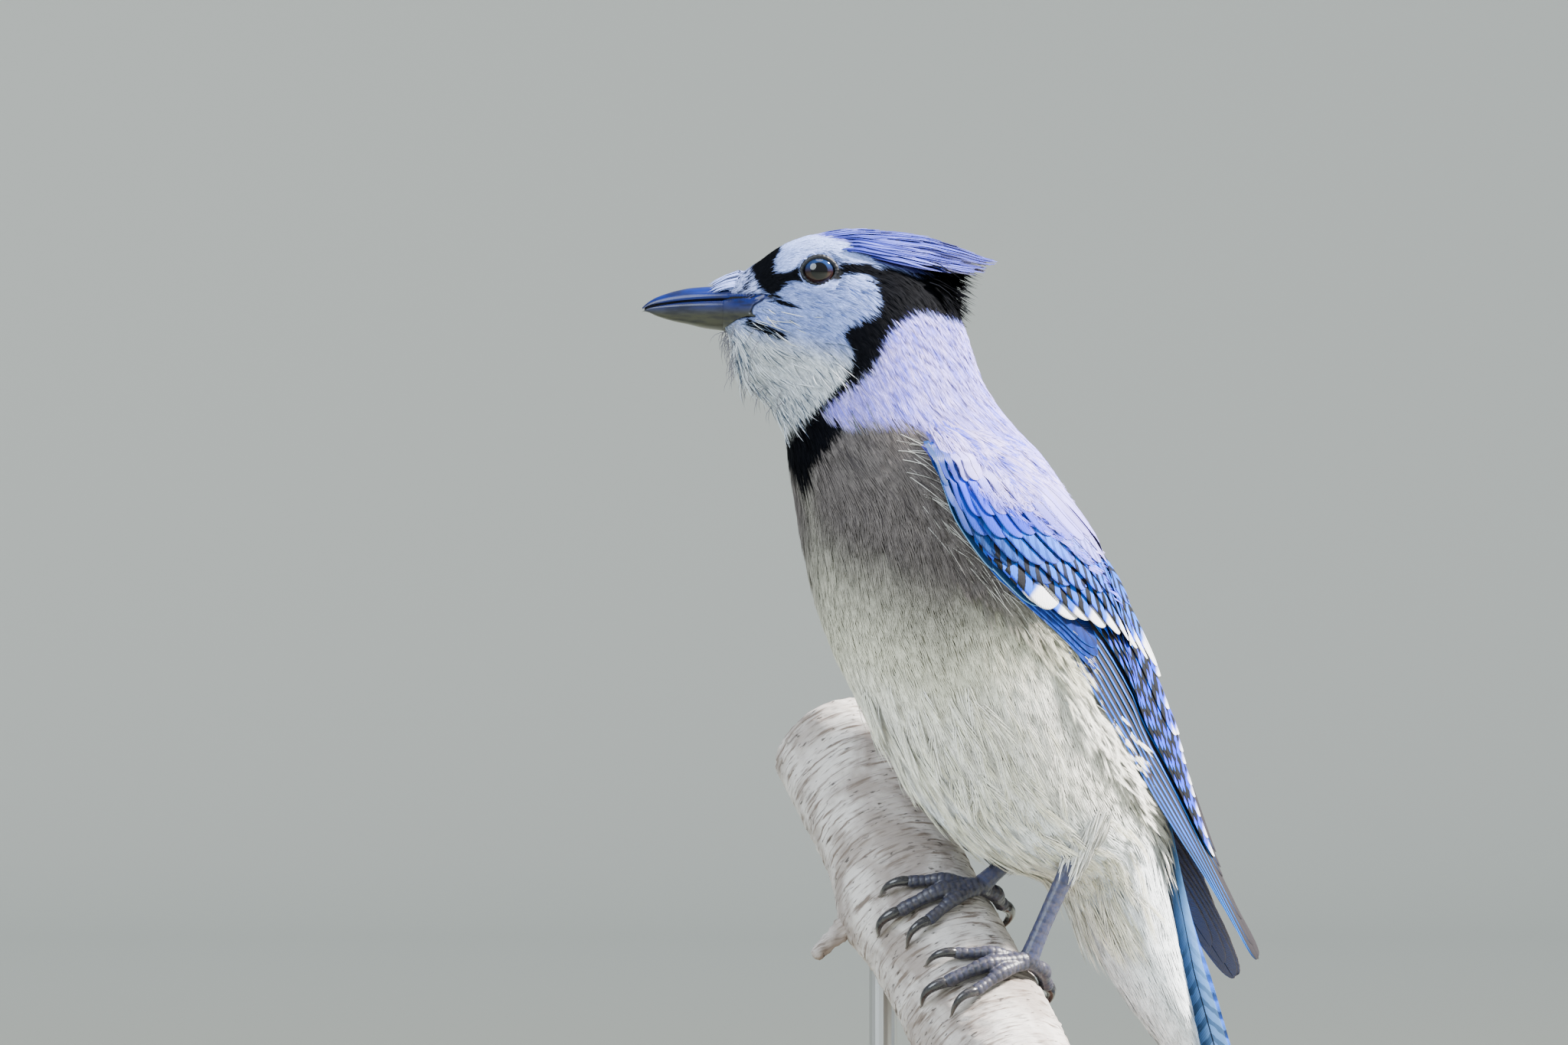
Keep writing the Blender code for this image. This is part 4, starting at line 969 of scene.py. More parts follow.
def web_places(columns):
    """Places across a feather from -1 to 1, closer together near its edges."""
    even = np.linspace(-1.0, 1.0, columns)
    return np.sign(even) * np.abs(even) ** 0.55


def stations_of(steps):
    """Shares of a feather's length from root to tip, closer together near the tip."""
    return np.sin(np.linspace(0, 1, steps) * math.pi / 2) ** 0.95


def rounded_tip(stations, part):
    """Share of the full width along a vane whose last part is rounded."""
    return np.sqrt(np.clip(1 - (np.maximum(stations - (1 - part), 0) / part) ** 2.2, 0.0004, 1))


def shell_pattern(steps, columns):
    """Triangles of one closed shell: two sheets of steps by columns points, and their rim."""
    layer = steps * columns
    row, column = np.meshgrid(np.arange(steps - 1), np.arange(columns - 1), indexing="ij")
    a = (row * columns + column).ravel()
    faces = [np.stack((a, a + 1, a + columns + 1), -1), np.stack((a, a + columns + 1, a + columns), -1)]
    faces += [face[:, ::-1] + layer for face in faces[:2]]
    rim = list(range(columns)) + [r * columns + columns - 1 for r in range(1, steps)]
    rim += [(steps - 1) * columns + k for k in range(columns - 2, -1, -1)]
    rim += [r * columns for r in range(steps - 2, 0, -1)]
    rim = np.array(rim)
    after = np.roll(rim, -1)
    faces += [np.stack((rim, rim + layer, after + layer), -1), np.stack((rim, after + layer, after), -1)]
    return np.concatenate(faces)


def vane_mesh(name, vane, look, finish, slot, *nodes):
    """Flat feathers with a shaft: closed thin shells, one row of the vane's arrays to each.

    low and high are the half widths of the two webs at each station, and columns run from
    the low edge to the high edge.
    """
    count, steps, columns = vane.colours.shape[:3]
    c = web_places(columns)[None, None]
    low, high, outward = vane.low[..., None], vane.high[..., None], vane.outward[:, :, None]
    reach = np.where(c < 0, c * low, c * high)[..., None]
    rise = (-look.camber * c ** 2 * (low + high))[..., None]
    sheet = vane.spine[:, :, None] + vane.sideways[:, :, None] * -reach + outward * rise
    half = look.thick * (1.0 - 0.75 * c ** 2)[..., None] * outward
    points = np.concatenate([face.reshape(count, -1, 3) for face in (sheet + half / 2, sheet - half / 2)], 1)
    pattern = shell_pattern(steps, columns)
    triangles = (pattern[None] + (np.arange(count) * points.shape[1])[:, None, None]).reshape(-1, 3)
    # Each feather has a cell of its own in the bake map, with one half for each face.
    cells = int(math.ceil(math.sqrt(count)))
    local_u = np.broadcast_to((c[0] + 1) / 2, (steps, columns))
    local_v = np.broadcast_to(np.linspace(0, 1, steps)[:, None], (steps, columns))
    cell_u, cell_v = (np.arange(count) % cells)[:, None, None], (np.arange(count) // cells)[:, None, None]
    inside = 1 - 2 * CELL_MARGIN
    uv = []
    for face in range(2):
        u = (cell_u + CELL_MARGIN + inside * (local_u[None] + face) / 2) / cells
        v = (cell_v + CELL_MARGIN + inside * local_v[None]) / cells
        uv.append(np.stack((u, v), -1).reshape(count, -1, 2))
    below = blend(vane.colours * 0.6, look.under, np.full(vane.colours.shape[:-1], look.tint))
    colours = np.concatenate([face.reshape(count, -1, 3) for face in (vane.colours, below)], 1)
    extras = []
    for label in ("bars", "beat", "phase", "split", "shaft"):
        above = getattr(vane, label).reshape(count, -1)
        under = above * (BARS_BELOW if label == "bars" else 1.0) + (NO_SPLIT if label == "split" else 0.0)
        extras.append((label, np.concatenate((above, under), 1)))
    made = new_mesh(name, points.reshape(-1, 3), triangles, finish, np.concatenate(uv, 1).reshape(-1, 2),
                    colours.reshape(-1, 3), extras)
    # A second map holds the place across each feather and the metres from its root.
    places = np.stack(np.broadcast_arrays(local_u[None], vane.run[..., None] * MM), -1).reshape(count, -1, 2)
    places = np.concatenate((places, places), 1).reshape(-1, 2)
    layer = made.data.uv_layers.new(name="Feather")
    layer.data.foreach_set("uv", places[triangles.ravel()].astype(np.float32).ravel())
    made.data.uv_layers.active = made.data.uv_layers["OFBake"]
    return piece(made, slot, *nodes)


# Wings

class Wing:
    """Sheet of the folded left wing, read from a grid of points that clears the body."""

    LOW = (-0.06, -0.16)
    HIGH = (1.0, 1.25)
    SIZE = (60, 30)
    OUTSIDE = -80.0

    def __init__(self, tree, droop):
        along, across = (np.linspace(*ends) for ends in zip(self.LOW, self.HIGH, self.SIZE))
        last = len(WING_LOWER) - 1
        low, high = look_up(LOWER_TABLE, along * last), look_up(UPPER_TABLE, along * last)
        before = np.minimum(along, 0.0)[:, None] * last
        low = low + before * (np.array(WING_LOWER[1]) - np.array(WING_LOWER[0]))
        high = high + before * (np.array(WING_UPPER[1]) - np.array(WING_UPPER[0]))
        place = low[:, None] + (high - low)[:, None] * across[None, :, None]
        taper = np.maximum(0.0, 1.0 - along)[:, None] ** 0.7
        side = place[..., 2] - WING_BULGE * np.sin(math.pi * np.clip(across, 0, 1))[None] * taper
        x = (place[..., 0] + side * math.sin(TURN)) / math.cos(TURN)
        z = place[..., 1] - droop * (along ** 2)[:, None]
        for spot in np.ndindex(self.SIZE):
            hit = tree.ray_cast(Vector((x[spot], self.OUTSIDE, z[spot])), Vector((0.0, 1.0, 0.0)))[0]
            if hit is not None:
                side[spot] = min(side[spot], hit.y - WING_CLEARANCE)
        self.grid = np.stack((x, side, z), -1)
        normal = unit(np.cross(np.gradient(self.grid, axis=0), np.gradient(self.grid, axis=1)))
        self.normals = np.where(normal[..., 1:2] > 0, -normal, normal)

    def read(self, grid, along, across):
        along, across = np.broadcast_arrays(along, across)
        spots = []
        for value, low, high, size in zip((along, across), self.LOW, self.HIGH, self.SIZE):
            spots.append(np.clip((value - low) / (high - low) * (size - 1), 0, size - 1.001))
        row, column = spots[0].astype(int), spots[1].astype(int)
        r, c = (spots[0] - row)[..., None], (spots[1] - column)[..., None]
        return ((grid[row, column] * (1 - r) + grid[row + 1, column] * r) * (1 - c)
                + (grid[row, column + 1] * (1 - r) + grid[row + 1, column + 1] * r) * c)

    def sheet(self, along, across, height):
        height = np.broadcast_to(height, np.broadcast(along, across).shape)
        return self.read(self.grid, along, across) + self.normal(along, across) * height[..., None]

    def normal(self, along, across):
        return unit(self.read(self.normals, along, across))


# Tiers of the wing, in shares of the wing's length and width. Pairs are the values of a tier's
# first and last feather: where its feathers are rooted and end, and their widths. Then the
# height of the tips over the sheet, the spacing of the bars, their strength and the share of
# the tip that is white.
Tier = namedtuple("Tier", "feathers root_along tip_along root_across tip_across width height gap bars white")
TIERS = {
    "primaries": Tier(9, (0.30, 0.30), (0.90, 0.86), (0.05, 0.50), (0.10, 0.88), (6.5, 8.0),
                      0.2, 4.0, 0.0, 0.0),
    "secondaries": Tier(8, (0.26, 0.22), (0.84, 0.64), (0.50, 0.82), (0.58, 0.94), (8.0, 9.5),
                        0.8, 5.6, 2.0, 0.03),
    "tertials": Tier(3, (0.20, 0.16), (0.64, 0.52), (0.84, 0.97), (0.86, 0.99), (9.5, 10.0),
                     1.3, 5.4, 2.0, 0.04),
    "alula": Tier(2, (0.06, 0.08), (0.24, 0.33), (0.06, 0.10), (0.07, 0.11), (5.5, 6.5),
                  1.3, 4.0, 0.0, 0.0),
    "primary_coverts": Tier(4, (0.14, 0.16), (0.48, 0.43), (0.08, 0.20), (0.10, 0.25), (5.0, 6.5),
                            0.9, 4.0, 0.3, 0.0),
    "barred_coverts": Tier(3, (0.08, 0.09), (0.25, 0.31), (0.12, 0.24), (0.13, 0.22), (4.5, 5.5),
                           1.6, 3.0, 1.0, 0.0),
    "greater_coverts": Tier(9, (0.14, 0.14), (0.365, 0.50), (0.26, 0.97), (0.28, 1.0), (8.0, 7.5),
                            1.7, 4.4, 1.0, 0.17),
    "big_coverts": Tier(2, (0.12, 0.13), (0.325, 0.34), (0.22, 0.25), (0.18, 0.20), (8.5, 9.5),
                        2.4, 4.8, 1.0, 0.24),
    "median_coverts": Tier(9, (0.08, 0.16), (0.28, 0.37), (0.20, 0.98), (0.22, 1.0), (7.0, 6.5),
                           2.2, 3.8, 0.7, 0.0),
    "lesser_low": Tier(9, (0.04, 0.10), (0.22, 0.29), (0.14, 0.97), (0.16, 0.99), (6.0, 6.0),
                       2.5, 3.4, 0.35, 0.0),
    "lesser_mid": Tier(10, (0.00, 0.05), (0.16, 0.22), (0.07, 0.95), (0.08, 0.97), (5.5, 5.5),
                       2.75, 4.0, 0.0, 0.0),
    "lesser_high": Tier(7, (0.0, 0.02), (0.11, 0.14), (0.03, 0.55), (0.03, 0.57), (5.0, 5.0),
                        2.9, 4.0, 0.0, 0.0),
    "marginal": Tier(5, (-0.02, -0.01), (0.07, 0.08), (0.0, 0.30), (0.0, 0.32), (4.0, 4.5),
                     3.0, 4.0, 0.0, 0.0),
}
# The primaries in the middle of their tier reach further than the first and the last.
PRIMARY_REACH = 0.12
PRIMARY_INNER_WEB = 0.085
# How far tips stray along and across the wing, how deep the roots lie under the sheet, and how
# much of a feather's width is below its shaft.
REACH_JITTER = 0.008
ACROSS_JITTER = 0.012
ROOT_DEPTH = -1.2
FEATHER_TILT = math.radians(13.0)
NARROW_WEB = {"primaries": 0.40, "alula": 0.40}
MIDDLE_WEB = 0.47
FIRST_BAR = 1.1  # mm from the white tip

AZURE = tone(0, 100, 240)
PALE_AZURE = tone(120, 190, 255)
PRIMARY_BLUE = tone(0, 84, 226)
PRIMARY_EDGE = tone(24, 134, 255)
PRIMARY_DARK = tone(28, 26, 31)
VIOLET_BLUE = tone(20, 52, 232)
DEEP_BLUE = tone(0, 40, 130)
TEAL = tone(2, 46, 92)
WHITE = tone(246, 247, 252)
# Colour of each tier's feathers and of their lower edge.
FEATHER_TONES = {
    "primaries": (PRIMARY_BLUE, PRIMARY_EDGE), "secondaries": (VIOLET_BLUE, AZURE),
    "tertials": (VIOLET_BLUE, AZURE), "alula": (TEAL, PALE_AZURE),
    "primary_coverts": (DEEP_BLUE, AZURE), "barred_coverts": (AZURE, DEEP_BLUE),
    "greater_coverts": (AZURE, VIOLET_BLUE), "big_coverts": (AZURE, VIOLET_BLUE),
    "median_coverts": (AZURE, VIOLET_BLUE), "lesser_low": (AZURE, VIOLET_BLUE),
    "lesser_mid": (VIOLET_BLUE, AZURE), "lesser_high": (VIOLET_BLUE, DEEP_BLUE),
    "marginal": (DEEP_BLUE, VIOLET_BLUE),
}
SMALL_COVERTS = ("lesser_low", "lesser_mid", "lesser_high", "marginal")


def vane_colours(tier_name, u, v, luck, share):
    """Colour of a wing feather: u from the low edge, -1, to the high edge, 1, and v to the tip.

    share is the feather's place in its tier, from the wing's lower edge upwards.
    """
    outer, edge = FEATHER_TONES[tier_name]
    base = blend(outer, edge, ramp(u, -0.86, -1.0))
    if tier_name in (*SMALL_COVERTS, "median_coverts"):
        small = tier_name in SMALL_COVERTS
        rim = np.maximum(ramp(v, 0.86, 1.0), ramp(np.abs(u), 0.8, 1.0) * ramp(v, 0.5, 0.8))
        base = blend(base, LAVENDER, 0.55 * rim)
        base = blend(base, LAVENDER, 0.65 * ramp(share, 0.35, 0.9) * small)
        base = blend(base, LAVENDER_PINK, 0.6 * ramp(share, 0.45, 0.9) * small)
        base = blend(base, TEAL, 0.85 * ramp(share, 0.35, 0.0))
    if tier_name == "primaries":
        base = blend(base, PRIMARY_DARK, ramp(v, 0.62, 0.76) * ramp(u, -1.0, -0.86))
        base = blend(base, PRIMARY_DARK, ramp(v, 0.90, 1.0))
    return base * (0.8 + 0.4 * luck)


def wing_feather(draw, wing, tier_name, tier, share):
    """One feather of a tier, by its share of the way through the tier."""
    stations = stations_of(VANE_STEPS)
    flat = np.ones((VANE_STEPS, VANE_COLUMNS))
    u, v = web_places(VANE_COLUMNS)[None], stations[:, None]
    reach = lerp(*tier.tip_along, share)
    if tier_name == "primaries":
        reach += PRIMARY_REACH * math.sin(math.pi * min(1.0, share * 1.1 + 0.12)) ** 1.2
    reach += draw.uniform(-REACH_JITTER, REACH_JITTER)
    along = lerp(lerp(*tier.root_along, share), reach, stations)
    end_across = lerp(*tier.tip_across, share) + draw.uniform(-ACROSS_JITTER, ACROSS_JITTER)
    across = lerp(lerp(*tier.root_across, share), end_across, stations)
    # Feathers lie closer to the body at both edges of the wing.
    low_edge = lerp(0.6, 1.0, ramp(across, 0.0, 0.35)) * lerp(1.0, 0.4, ramp(across, 0.6, 1.0))
    spine = wing.sheet(along, across, lerp(ROOT_DEPTH, tier.height * low_edge, ramp(stations, -0.2, 0.6)))
    normal = wing.normal(along, across)
    way = unit(np.gradient(spine, axis=0))
    normal = unit(normal - way * dot(normal, way))
    side = np.cross(way, normal)
    slant = side * math.cos(FEATHER_TILT) + normal * math.sin(FEATHER_TILT)
    lift = normal * math.cos(FEATHER_TILT) - side * math.sin(FEATHER_TILT)
    run = run_along(spine)
    outline = (0.45 + 0.55 * ramp(stations, 0.0, 0.35)) * rounded_tip(stations, 0.2)
    narrow = NARROW_WEB.get(tier_name, MIDDLE_WEB)
    width = lerp(*tier.width, share)
    colours = vane_colours(tier_name, u, v, draw.random(), share)
    white_start = 1 - tier.white
    whiteness = ramp(v - 0.02 * np.abs(u), white_start - 0.03, white_start + 0.01) * (tier.white > 0)
    strength = tier.bars * (1 - ramp(v, white_start - 0.05, white_start - 0.02) * (tier.white > 0))
    # The first bar stands just above the white tip.
    phase = math.pi / 2 - TAU / tier.gap * (run[-1] * white_start - FIRST_BAR)
    split = PRIMARY_INNER_WEB if tier_name == "primaries" else NO_SPLIT
    return Vane(spine, lift, slant, width * narrow * outline, width * (1 - narrow) * outline,
                blend(colours, WHITE, whiteness), run, strength * flat, TAU / (tier.gap * MM) * flat,
                phase * flat, split * flat, flat)


def build_wing(side_name, tree, finish, coat):
    right = side_name == "right"
    mirror = MIRROR if right else 1.0
    wing = Wing(tree, RIGHT_WING_DROOP if right else 0.0)
    draw = np.random.default_rng(21 if right else 12)
    feathers = [wing_feather(draw, wing, tier_name, tier, number / (tier.feathers - 1))
                for tier_name, tier in TIERS.items() for number in range(tier.feathers)]
    vane = Vane(*(np.stack(group) for group in zip(*feathers)))
    ways = {label: getattr(vane, label) * mirror for label in ("spine", "outward", "sideways")}
    vane = vane._replace(**ways)
    made = vane_mesh("wing_vanes_" + side_name, vane, Look(0.14, 0.05), finish, "blue_plumage",
                     "wing_" + side_name)
    if right:
        outward_faces(made)
    build_scapulars(side_name, mirror, wing, coat)
    build_flank(side_name, mirror, coat)


SCAPULAR = ((1150, 520), (1180, 560), (1212, 606), (1246, 626), (1273, 652), (1313, 673), (1370, 698),
            (1418, 731), (1461, 782), (1480, 815), (1800, 1000), (1800, 400), (1150, 400))
# Number, spans of length and half width, depth of the roots, width of a barb and sway.
SCAPULARS = 1500
SCAPULAR_SIZES = ((7.5, 11.0), (0.8, 1.2))
SCAPULAR_DEPTH, SCAPULAR_BARB, SCAPULAR_SWAY = 2.6, 0.36, 0.12


def build_scapulars(side_name, mirror, wing, coat):
    """Lavender feathers of the shoulder that run over the top of the wing."""
    draw = np.random.default_rng(31)
    count = SCAPULARS
    across = draw.uniform(-0.15, 1.02, count)
    at_front = draw.random(count) < 0.35
    along = np.where(at_front, draw.uniform(-0.15, 0.03, count), draw.uniform(0.0, 0.32, count))
    top = lerp(3.7, 0.6, ramp(across, 0.5, 0.95)) + draw.uniform(-0.2, 0.2, count)
    top = top * lerp(0.25, 1.0, ramp(along, -0.12, 0.03)) * lerp(0.4, 1.0, ramp(across, -0.1, 0.25))
    length, half = (draw.uniform(*ends, count) for ends in SCAPULAR_SIZES)
    spine, outward = barbed(draw, wing.sheet, along, across, length, half, SCAPULAR_DEPTH, top,
                            SCAPULAR_SWAY, steps=(0.01, 0.01))[:2]
    seen = profile(spine[:, 2])
    along, across = np.repeat(along, BARBS), np.repeat(across, BARBS)
    keep = (mask(seen, SCAPULAR, 30.0) > 0.5) & (across > np.interp(along, (-0.15, 0.02), (0.4, -0.1)))
    colour = blend(LAVENDER, LAVENDER_PINK, ramp(barb_luck(draw, count, 0.4), 0.1, 0.8))
    colour = blend(colour, VIOLET_BLUE, ramp(mask(seen, SCAPULAR, 150.0), 0.75, 0.5) * 0.55)
    roots = np.stack((across * 0.65 + 0.1, along + 0.2), -1)
    arrays = (spine * mirror, outward * mirror, *barb_shapes(SCAPULAR_BARB, count), roots,
              barb_shades(colour))
    in_pieces("scapulars_" + side_name, keep, arrays, coat, "lavender_plumage")


# Pixels along the wing's lower edge, from the shoulder to the rump.
WING_EDGE = np.array(((1208, 575), (1240, 645), (1265, 698), (1308, 748), (1352, 782), (1395, 822),
                      (1428, 905), (1470, 955), (1515, 1030), (1556, 1105)), float)
FLANK_FEATHERS, FLANK_BARB, FLANK_DEPTH, FLANK_SWAY = 1000, 0.20, 1.0, 0.12
EDGE_HAIRS, EDGE_HAIR_END, EDGE_HAIR_WIDTH = 250, 6, 0.16
# Angles on the left side are negative, and the bake map shows them one turn on.
NEXT_TURN = (1.0, 0.0)


def build_flank(side_name, mirror, coat):
    """Loose breast and flank feathers, rooted in the body, that lap over the wing's lower edge."""
    draw = np.random.default_rng(43)
    count = FLANK_FEATHERS
    last = len(WING_EDGE) - 1
    run = draw.uniform(0, last, count)
    spots = np.stack([np.interp(run, range(last + 1), WING_EDGE[:, axis]) for axis in range(2)], -1)
    spots = spots + np.stack((-draw.uniform(2, 44, count), draw.uniform(-14, 14, count)), -1)
    place, angle = body_spots(spots, (10.5, 24.5, 140), (-2.7, -0.5, 90))
    place = place + draw.normal(0, 0.05, count)
    length = draw.uniform(6.0, 11.0, count) * lerp(0.9, 1.2, run / last)
    half = draw.uniform(0.35, 0.9, count)
    tip = draw.uniform(0.6, 3.0, count) * lerp(0.5, 1.0, run / last)
    turn = draw.uniform(0.0, 0.36, count)
    spine, outward = barbed(draw, coat_sheet, place, angle, length, half, FLANK_DEPTH, tip, FLANK_SWAY,
                            turn=turn)[:2]
    barb_place, barb_angle = np.repeat(place, BARBS), np.repeat(angle, BARBS)
    colour = plumage(barb_place, barb_angle, barb_luck(draw, count, 0.5))
    tufts("flank_" + side_name, spine * mirror, outward * mirror, *barb_shapes(FLANK_BARB, count),
          bake_spot(barb_place, barb_angle) + NEXT_TURN, barb_shades(colour), coat, "white_plumage")
    # Single hairs cross the wing's edge above the flank.
    pick = np.nonzero(run < EDGE_HAIR_END)[0][:EDGE_HAIRS]
    place, angle, count = place[pick], angle[pick], len(pick)
    along, around = slopes(coat_sheet, place, angle)
    normal, lie = unit(np.cross(along, around)), unit(along)
    swing = draw.uniform(0.15, 0.75, count)[:, None]
    way = lie * np.cos(swing) + np.cross(normal, lie) * np.sin(swing)
    way = way + normal * draw.uniform(0.2, 0.45, count)[:, None]
    start = coat_sheet(place, angle, np.zeros(count))
    shade = blend(plumage(place, angle, draw.random(count)), BELLY_WHITE, draw.uniform(0.1, 0.7, count))
    strands("edge_hairs_" + side_name, start * mirror, way * mirror, (lie * 0.1 - normal * 0.15) * mirror,
            draw.uniform(5.0, 9.5, count), EDGE_HAIR_WIDTH, shade, bake_spot(place, angle) + NEXT_TURN, coat,
            SEEN_FROM * mirror)


# Tail

TAIL_STEPS = 40
TAIL_PAIRS = 6
TAIL_BLUE = tone(40, 140, 250)
TAIL_INNER = tone(24, 60, 140)
# Painted light: the pale bright blue of the underside stands in for sun on the tail.
TAIL_LOOK = Look(0.16, 0.03, tone(132, 188, 255), 0.94)
TAIL_HALF_WIDTH = 6.2
TAIL_BAR_GAP = 4.3
# How far each pair lies below the one before and spreads beyond it, and the tail's bow.
TAIL_LAYER, TAIL_SPREAD, TAIL_BOW = -0.78, 2.1, -0.9
TAIL_ROOT_RUN = 4.0
TAIL_TILT = math.radians(5.0)


def tail_feather(pair, side):
    """One feather of the tail: pair 0 is the middle one, which lies on top."""
    along = np.array((math.cos(TAIL_ANGLE), 0.0, -math.sin(TAIL_ANGLE)))
    above = np.array((math.sin(TAIL_ANGLE), 0.0, math.cos(TAIL_ANGLE)))
    sideways = np.array((0.0, 1.0, 0.0))
    stations = stations_of(TAIL_STEPS)
    v = stations[:, None]
    u = np.broadcast_to(web_places(VANE_COLUMNS)[None], (TAIL_STEPS, VANE_COLUMNS))
    flat = np.ones(u.shape)
    length = TAIL_LENGTH - 0.42 * pair ** 2
    offset = side * (0.7 + (pair + side * 0.07) * TAIL_SPREAD * (0.25 + 0.75 * stations))
    layer = TAIL_LAYER * (pair + (0.5 if side > 0 else 0.0))
    rise = lerp(-1.7 + 0.11 * pair + 0.05 * side, layer, np.minimum(1.0, stations / 0.3))
    rise = rise + TAIL_BOW * np.sin(math.pi * stations)
    spine = (TAIL_ROOT + along * (TAIL_ROOT_RUN + (length - TAIL_ROOT_RUN) * stations)[:, None]
             + sideways * offset[:, None] + above * rise[:, None])
    tilt = TAIL_TILT * side
    slant = np.broadcast_to(sideways * math.cos(tilt) + above * math.sin(tilt), spine.shape)
    lift = np.broadcast_to(above * math.cos(tilt) - sideways * math.sin(tilt), spine.shape)
    half = TAIL_HALF_WIDTH * ((0.35 + 0.65 * ramp(stations, 0.0, 0.55)) * rounded_tip(stations, 0.1))
    colours = blend(TAIL_BLUE, VIOLET_BLUE, (0.3 if pair else 0.1) * flat)
    white = 0.03 + 0.02 * pair if pair else 0.0
    if pair:
        colours = blend(colours, TAIL_INNER, ramp(-u * side, 0.1, -0.3))
        colours = blend(colours, WHITE, ramp(v, 1 - white - 0.02, 1 - white) * flat)
    strength = ramp(v, 0.15, 0.4) * (1 - ramp(v, 0.9 - white, 0.93 - white) * (white > 0))
    return Vane(spine, lift, slant, half, half, colours, length * stations, strength * flat,
                TAU / (TAIL_BAR_GAP * MM) * flat, 0.4 * pair * flat, NO_SPLIT * flat, flat)


def build_tail(finish):
    """Six pairs of tail feathers with black bars, white at the tips of the outer ones."""
    feathers = [tail_feather(pair, side) for pair in range(TAIL_PAIRS) for side in (-1, 1)]
    vane = Vane(*(np.stack(group) for group in zip(*feathers)))
    outward_faces(vane_mesh("tail_vanes", vane, TAIL_LOOK, finish, "tail_plumage", "tail"))


# Head

# The crest's sheet: across, height of its ridge, half width and drop from ridge to edge.
CREST = (
    (-52.0, 260.4, 3.5, 0.8), (-46.2, 264.9, 7.5, 3.0), (-41.7, 267.2, 9.6, 4.0), (-36.3, 268.0, 11.0, 4.2),
    (-29.7, 268.4, 12.2, 5.6), (-21.9, 267.7, 12.4, 7.8), (-14.4, 266.4, 11.0, 8.6), (-7.8, 264.2, 8.2, 7.9),
    (-2.1, 261.8, 5.2, 5.6), (0.8, 260.9, 2.8, 1.6), (6.0, 258.5, 1.5, 0.6),
)
CREST_FEATHERS, CREST_STEPS, CREST_COLUMNS = 400, 9, 5
CREST_OUTLINE = ((0, 0.5), (0.3, 0.9), (0.6, 1.0), (0.85, 0.62), (1.0, 0.05))
CREST_FRONT, CREST_REAR = tone(84, 96, 240), tone(24, 38, 214)
CREST_PALE = tone(150, 158, 250)
# The lower web and the root of each crest feather are darkened as painted shade, which gives the dark gaps
# between the feathers.
CREST_LOWER_WEB_SHADE = tone(5, 7, 62)
CREST_ROOT_SHADE = tone(20, 30, 150)
CREST_DARK = tone(12, 14, 60)
NAPE_FEATHERS = 520
NAPE_WIDTHS = np.array((0.9, 1.0, 0.8, 0.0)) * 0.75


def crest_sheet(across, share, height):
    ridge, half, drop = (between(CREST, across, column) for column in (1, 2, 3))
    lean = share * 0.55
    return head_point(across, ridge - drop * share ** 2 + height * np.cos(lean),
                      share * half + height * np.sin(lean))


def crown_feathers(draw, finish):
    """Lance-shaped feathers of the crown, laid back into the crest."""
    count = CREST_FEATHERS
    root = draw.uniform(0, 1, count) ** 0.9
    across = lerp(-47.0, -13.0, root)
    share = draw.uniform(-1.0, 1.0, count)
    share = np.sign(share) * np.abs(share) ** 0.85
    length = lerp(8.0, 19.0, ramp(root, 0.0, 0.75)) * draw.uniform(0.85, 1.12, count)
    limit = 0.9 - 5.5 * np.abs(share) ** 1.5
    end = np.minimum(across + length, limit - draw.uniform(0.0, 2.5, count) * (root > 0.4))
    stations = np.linspace(0, 1, CREST_STEPS)
    a = lerp(across[:, None], end[:, None], stations[None])
    b = share[:, None] + draw.normal(0, 0.05, count)[:, None] * stations[None]
    lift = lerp(-0.7, draw.uniform(0.0, 0.45, count)[:, None], stations[None] ** 0.7)
    spine = crest_sheet(a, b, lift)
    outward = unit(crest_sheet(a, b, lift + 1.0) - spine)
    way = unit(np.gradient(spine, axis=1))
    outward = unit(outward - way * dot(outward, way))
    width = lerp(0.9, 1.7, ramp(root, 0.1, 0.8)) * draw.uniform(0.7, 1.2, count)
    web = width[:, None] * between(CREST_OUTLINE, stations)[None] / 2
    inside = mask(profile(spine[:, 2:8]), CROWN, 6.0).min(1) > 0.5
    u, v = web_places(CREST_COLUMNS), stations[None, :, None]
    luck = draw.random(count)[:, None, None]
    rear = ramp(across, -36.0, -16.0)[:, None, None]
    colours = np.zeros((count, CREST_STEPS, CREST_COLUMNS, 3))
    pale = lerp(CREST_FRONT, CREST_REAR, rear[..., None])
    colours = colours + blend(pale, CREST_PALE, 0.5 * luck ** 2) * (0.2 + 0.6 * luck[..., None])
    # Painted shade darkens each feather's lower web and its root.
    colours = blend(colours, CREST_LOWER_WEB_SHADE, ramp(u, 0.0, 0.6) * (0.7 + 0.3 * rear))
    colours = blend(colours, CREST_ROOT_SHADE, ramp(v, 0.6, 0.2) * (0.5 + 0.5 * rear))
    colours = blend(colours, CREST_DARK, rear * (luck < 0.35) * 0.95)
    white = ramp(across, -43.0, -46.0) * ramp(np.abs(share), 1.2, 0.2)
    colours = blend(colours, WHITE_FACE, white[:, None, None])
    run = np.linalg.norm(spine[:, -1] - spine[:, 0], axis=-1)[:, None] * stations[None]
    zero = np.zeros(colours.shape[:-1])
    vane = Vane(spine, outward, np.cross(way, outward), web, web, colours, run, zero, zero, zero,
                zero + NO_SPLIT, zero)
    vane = Vane(*(values[inside] for values in vane))
    vane_mesh("crest", vane, Look(0.12, 0.05), finish, "lavender_plumage")


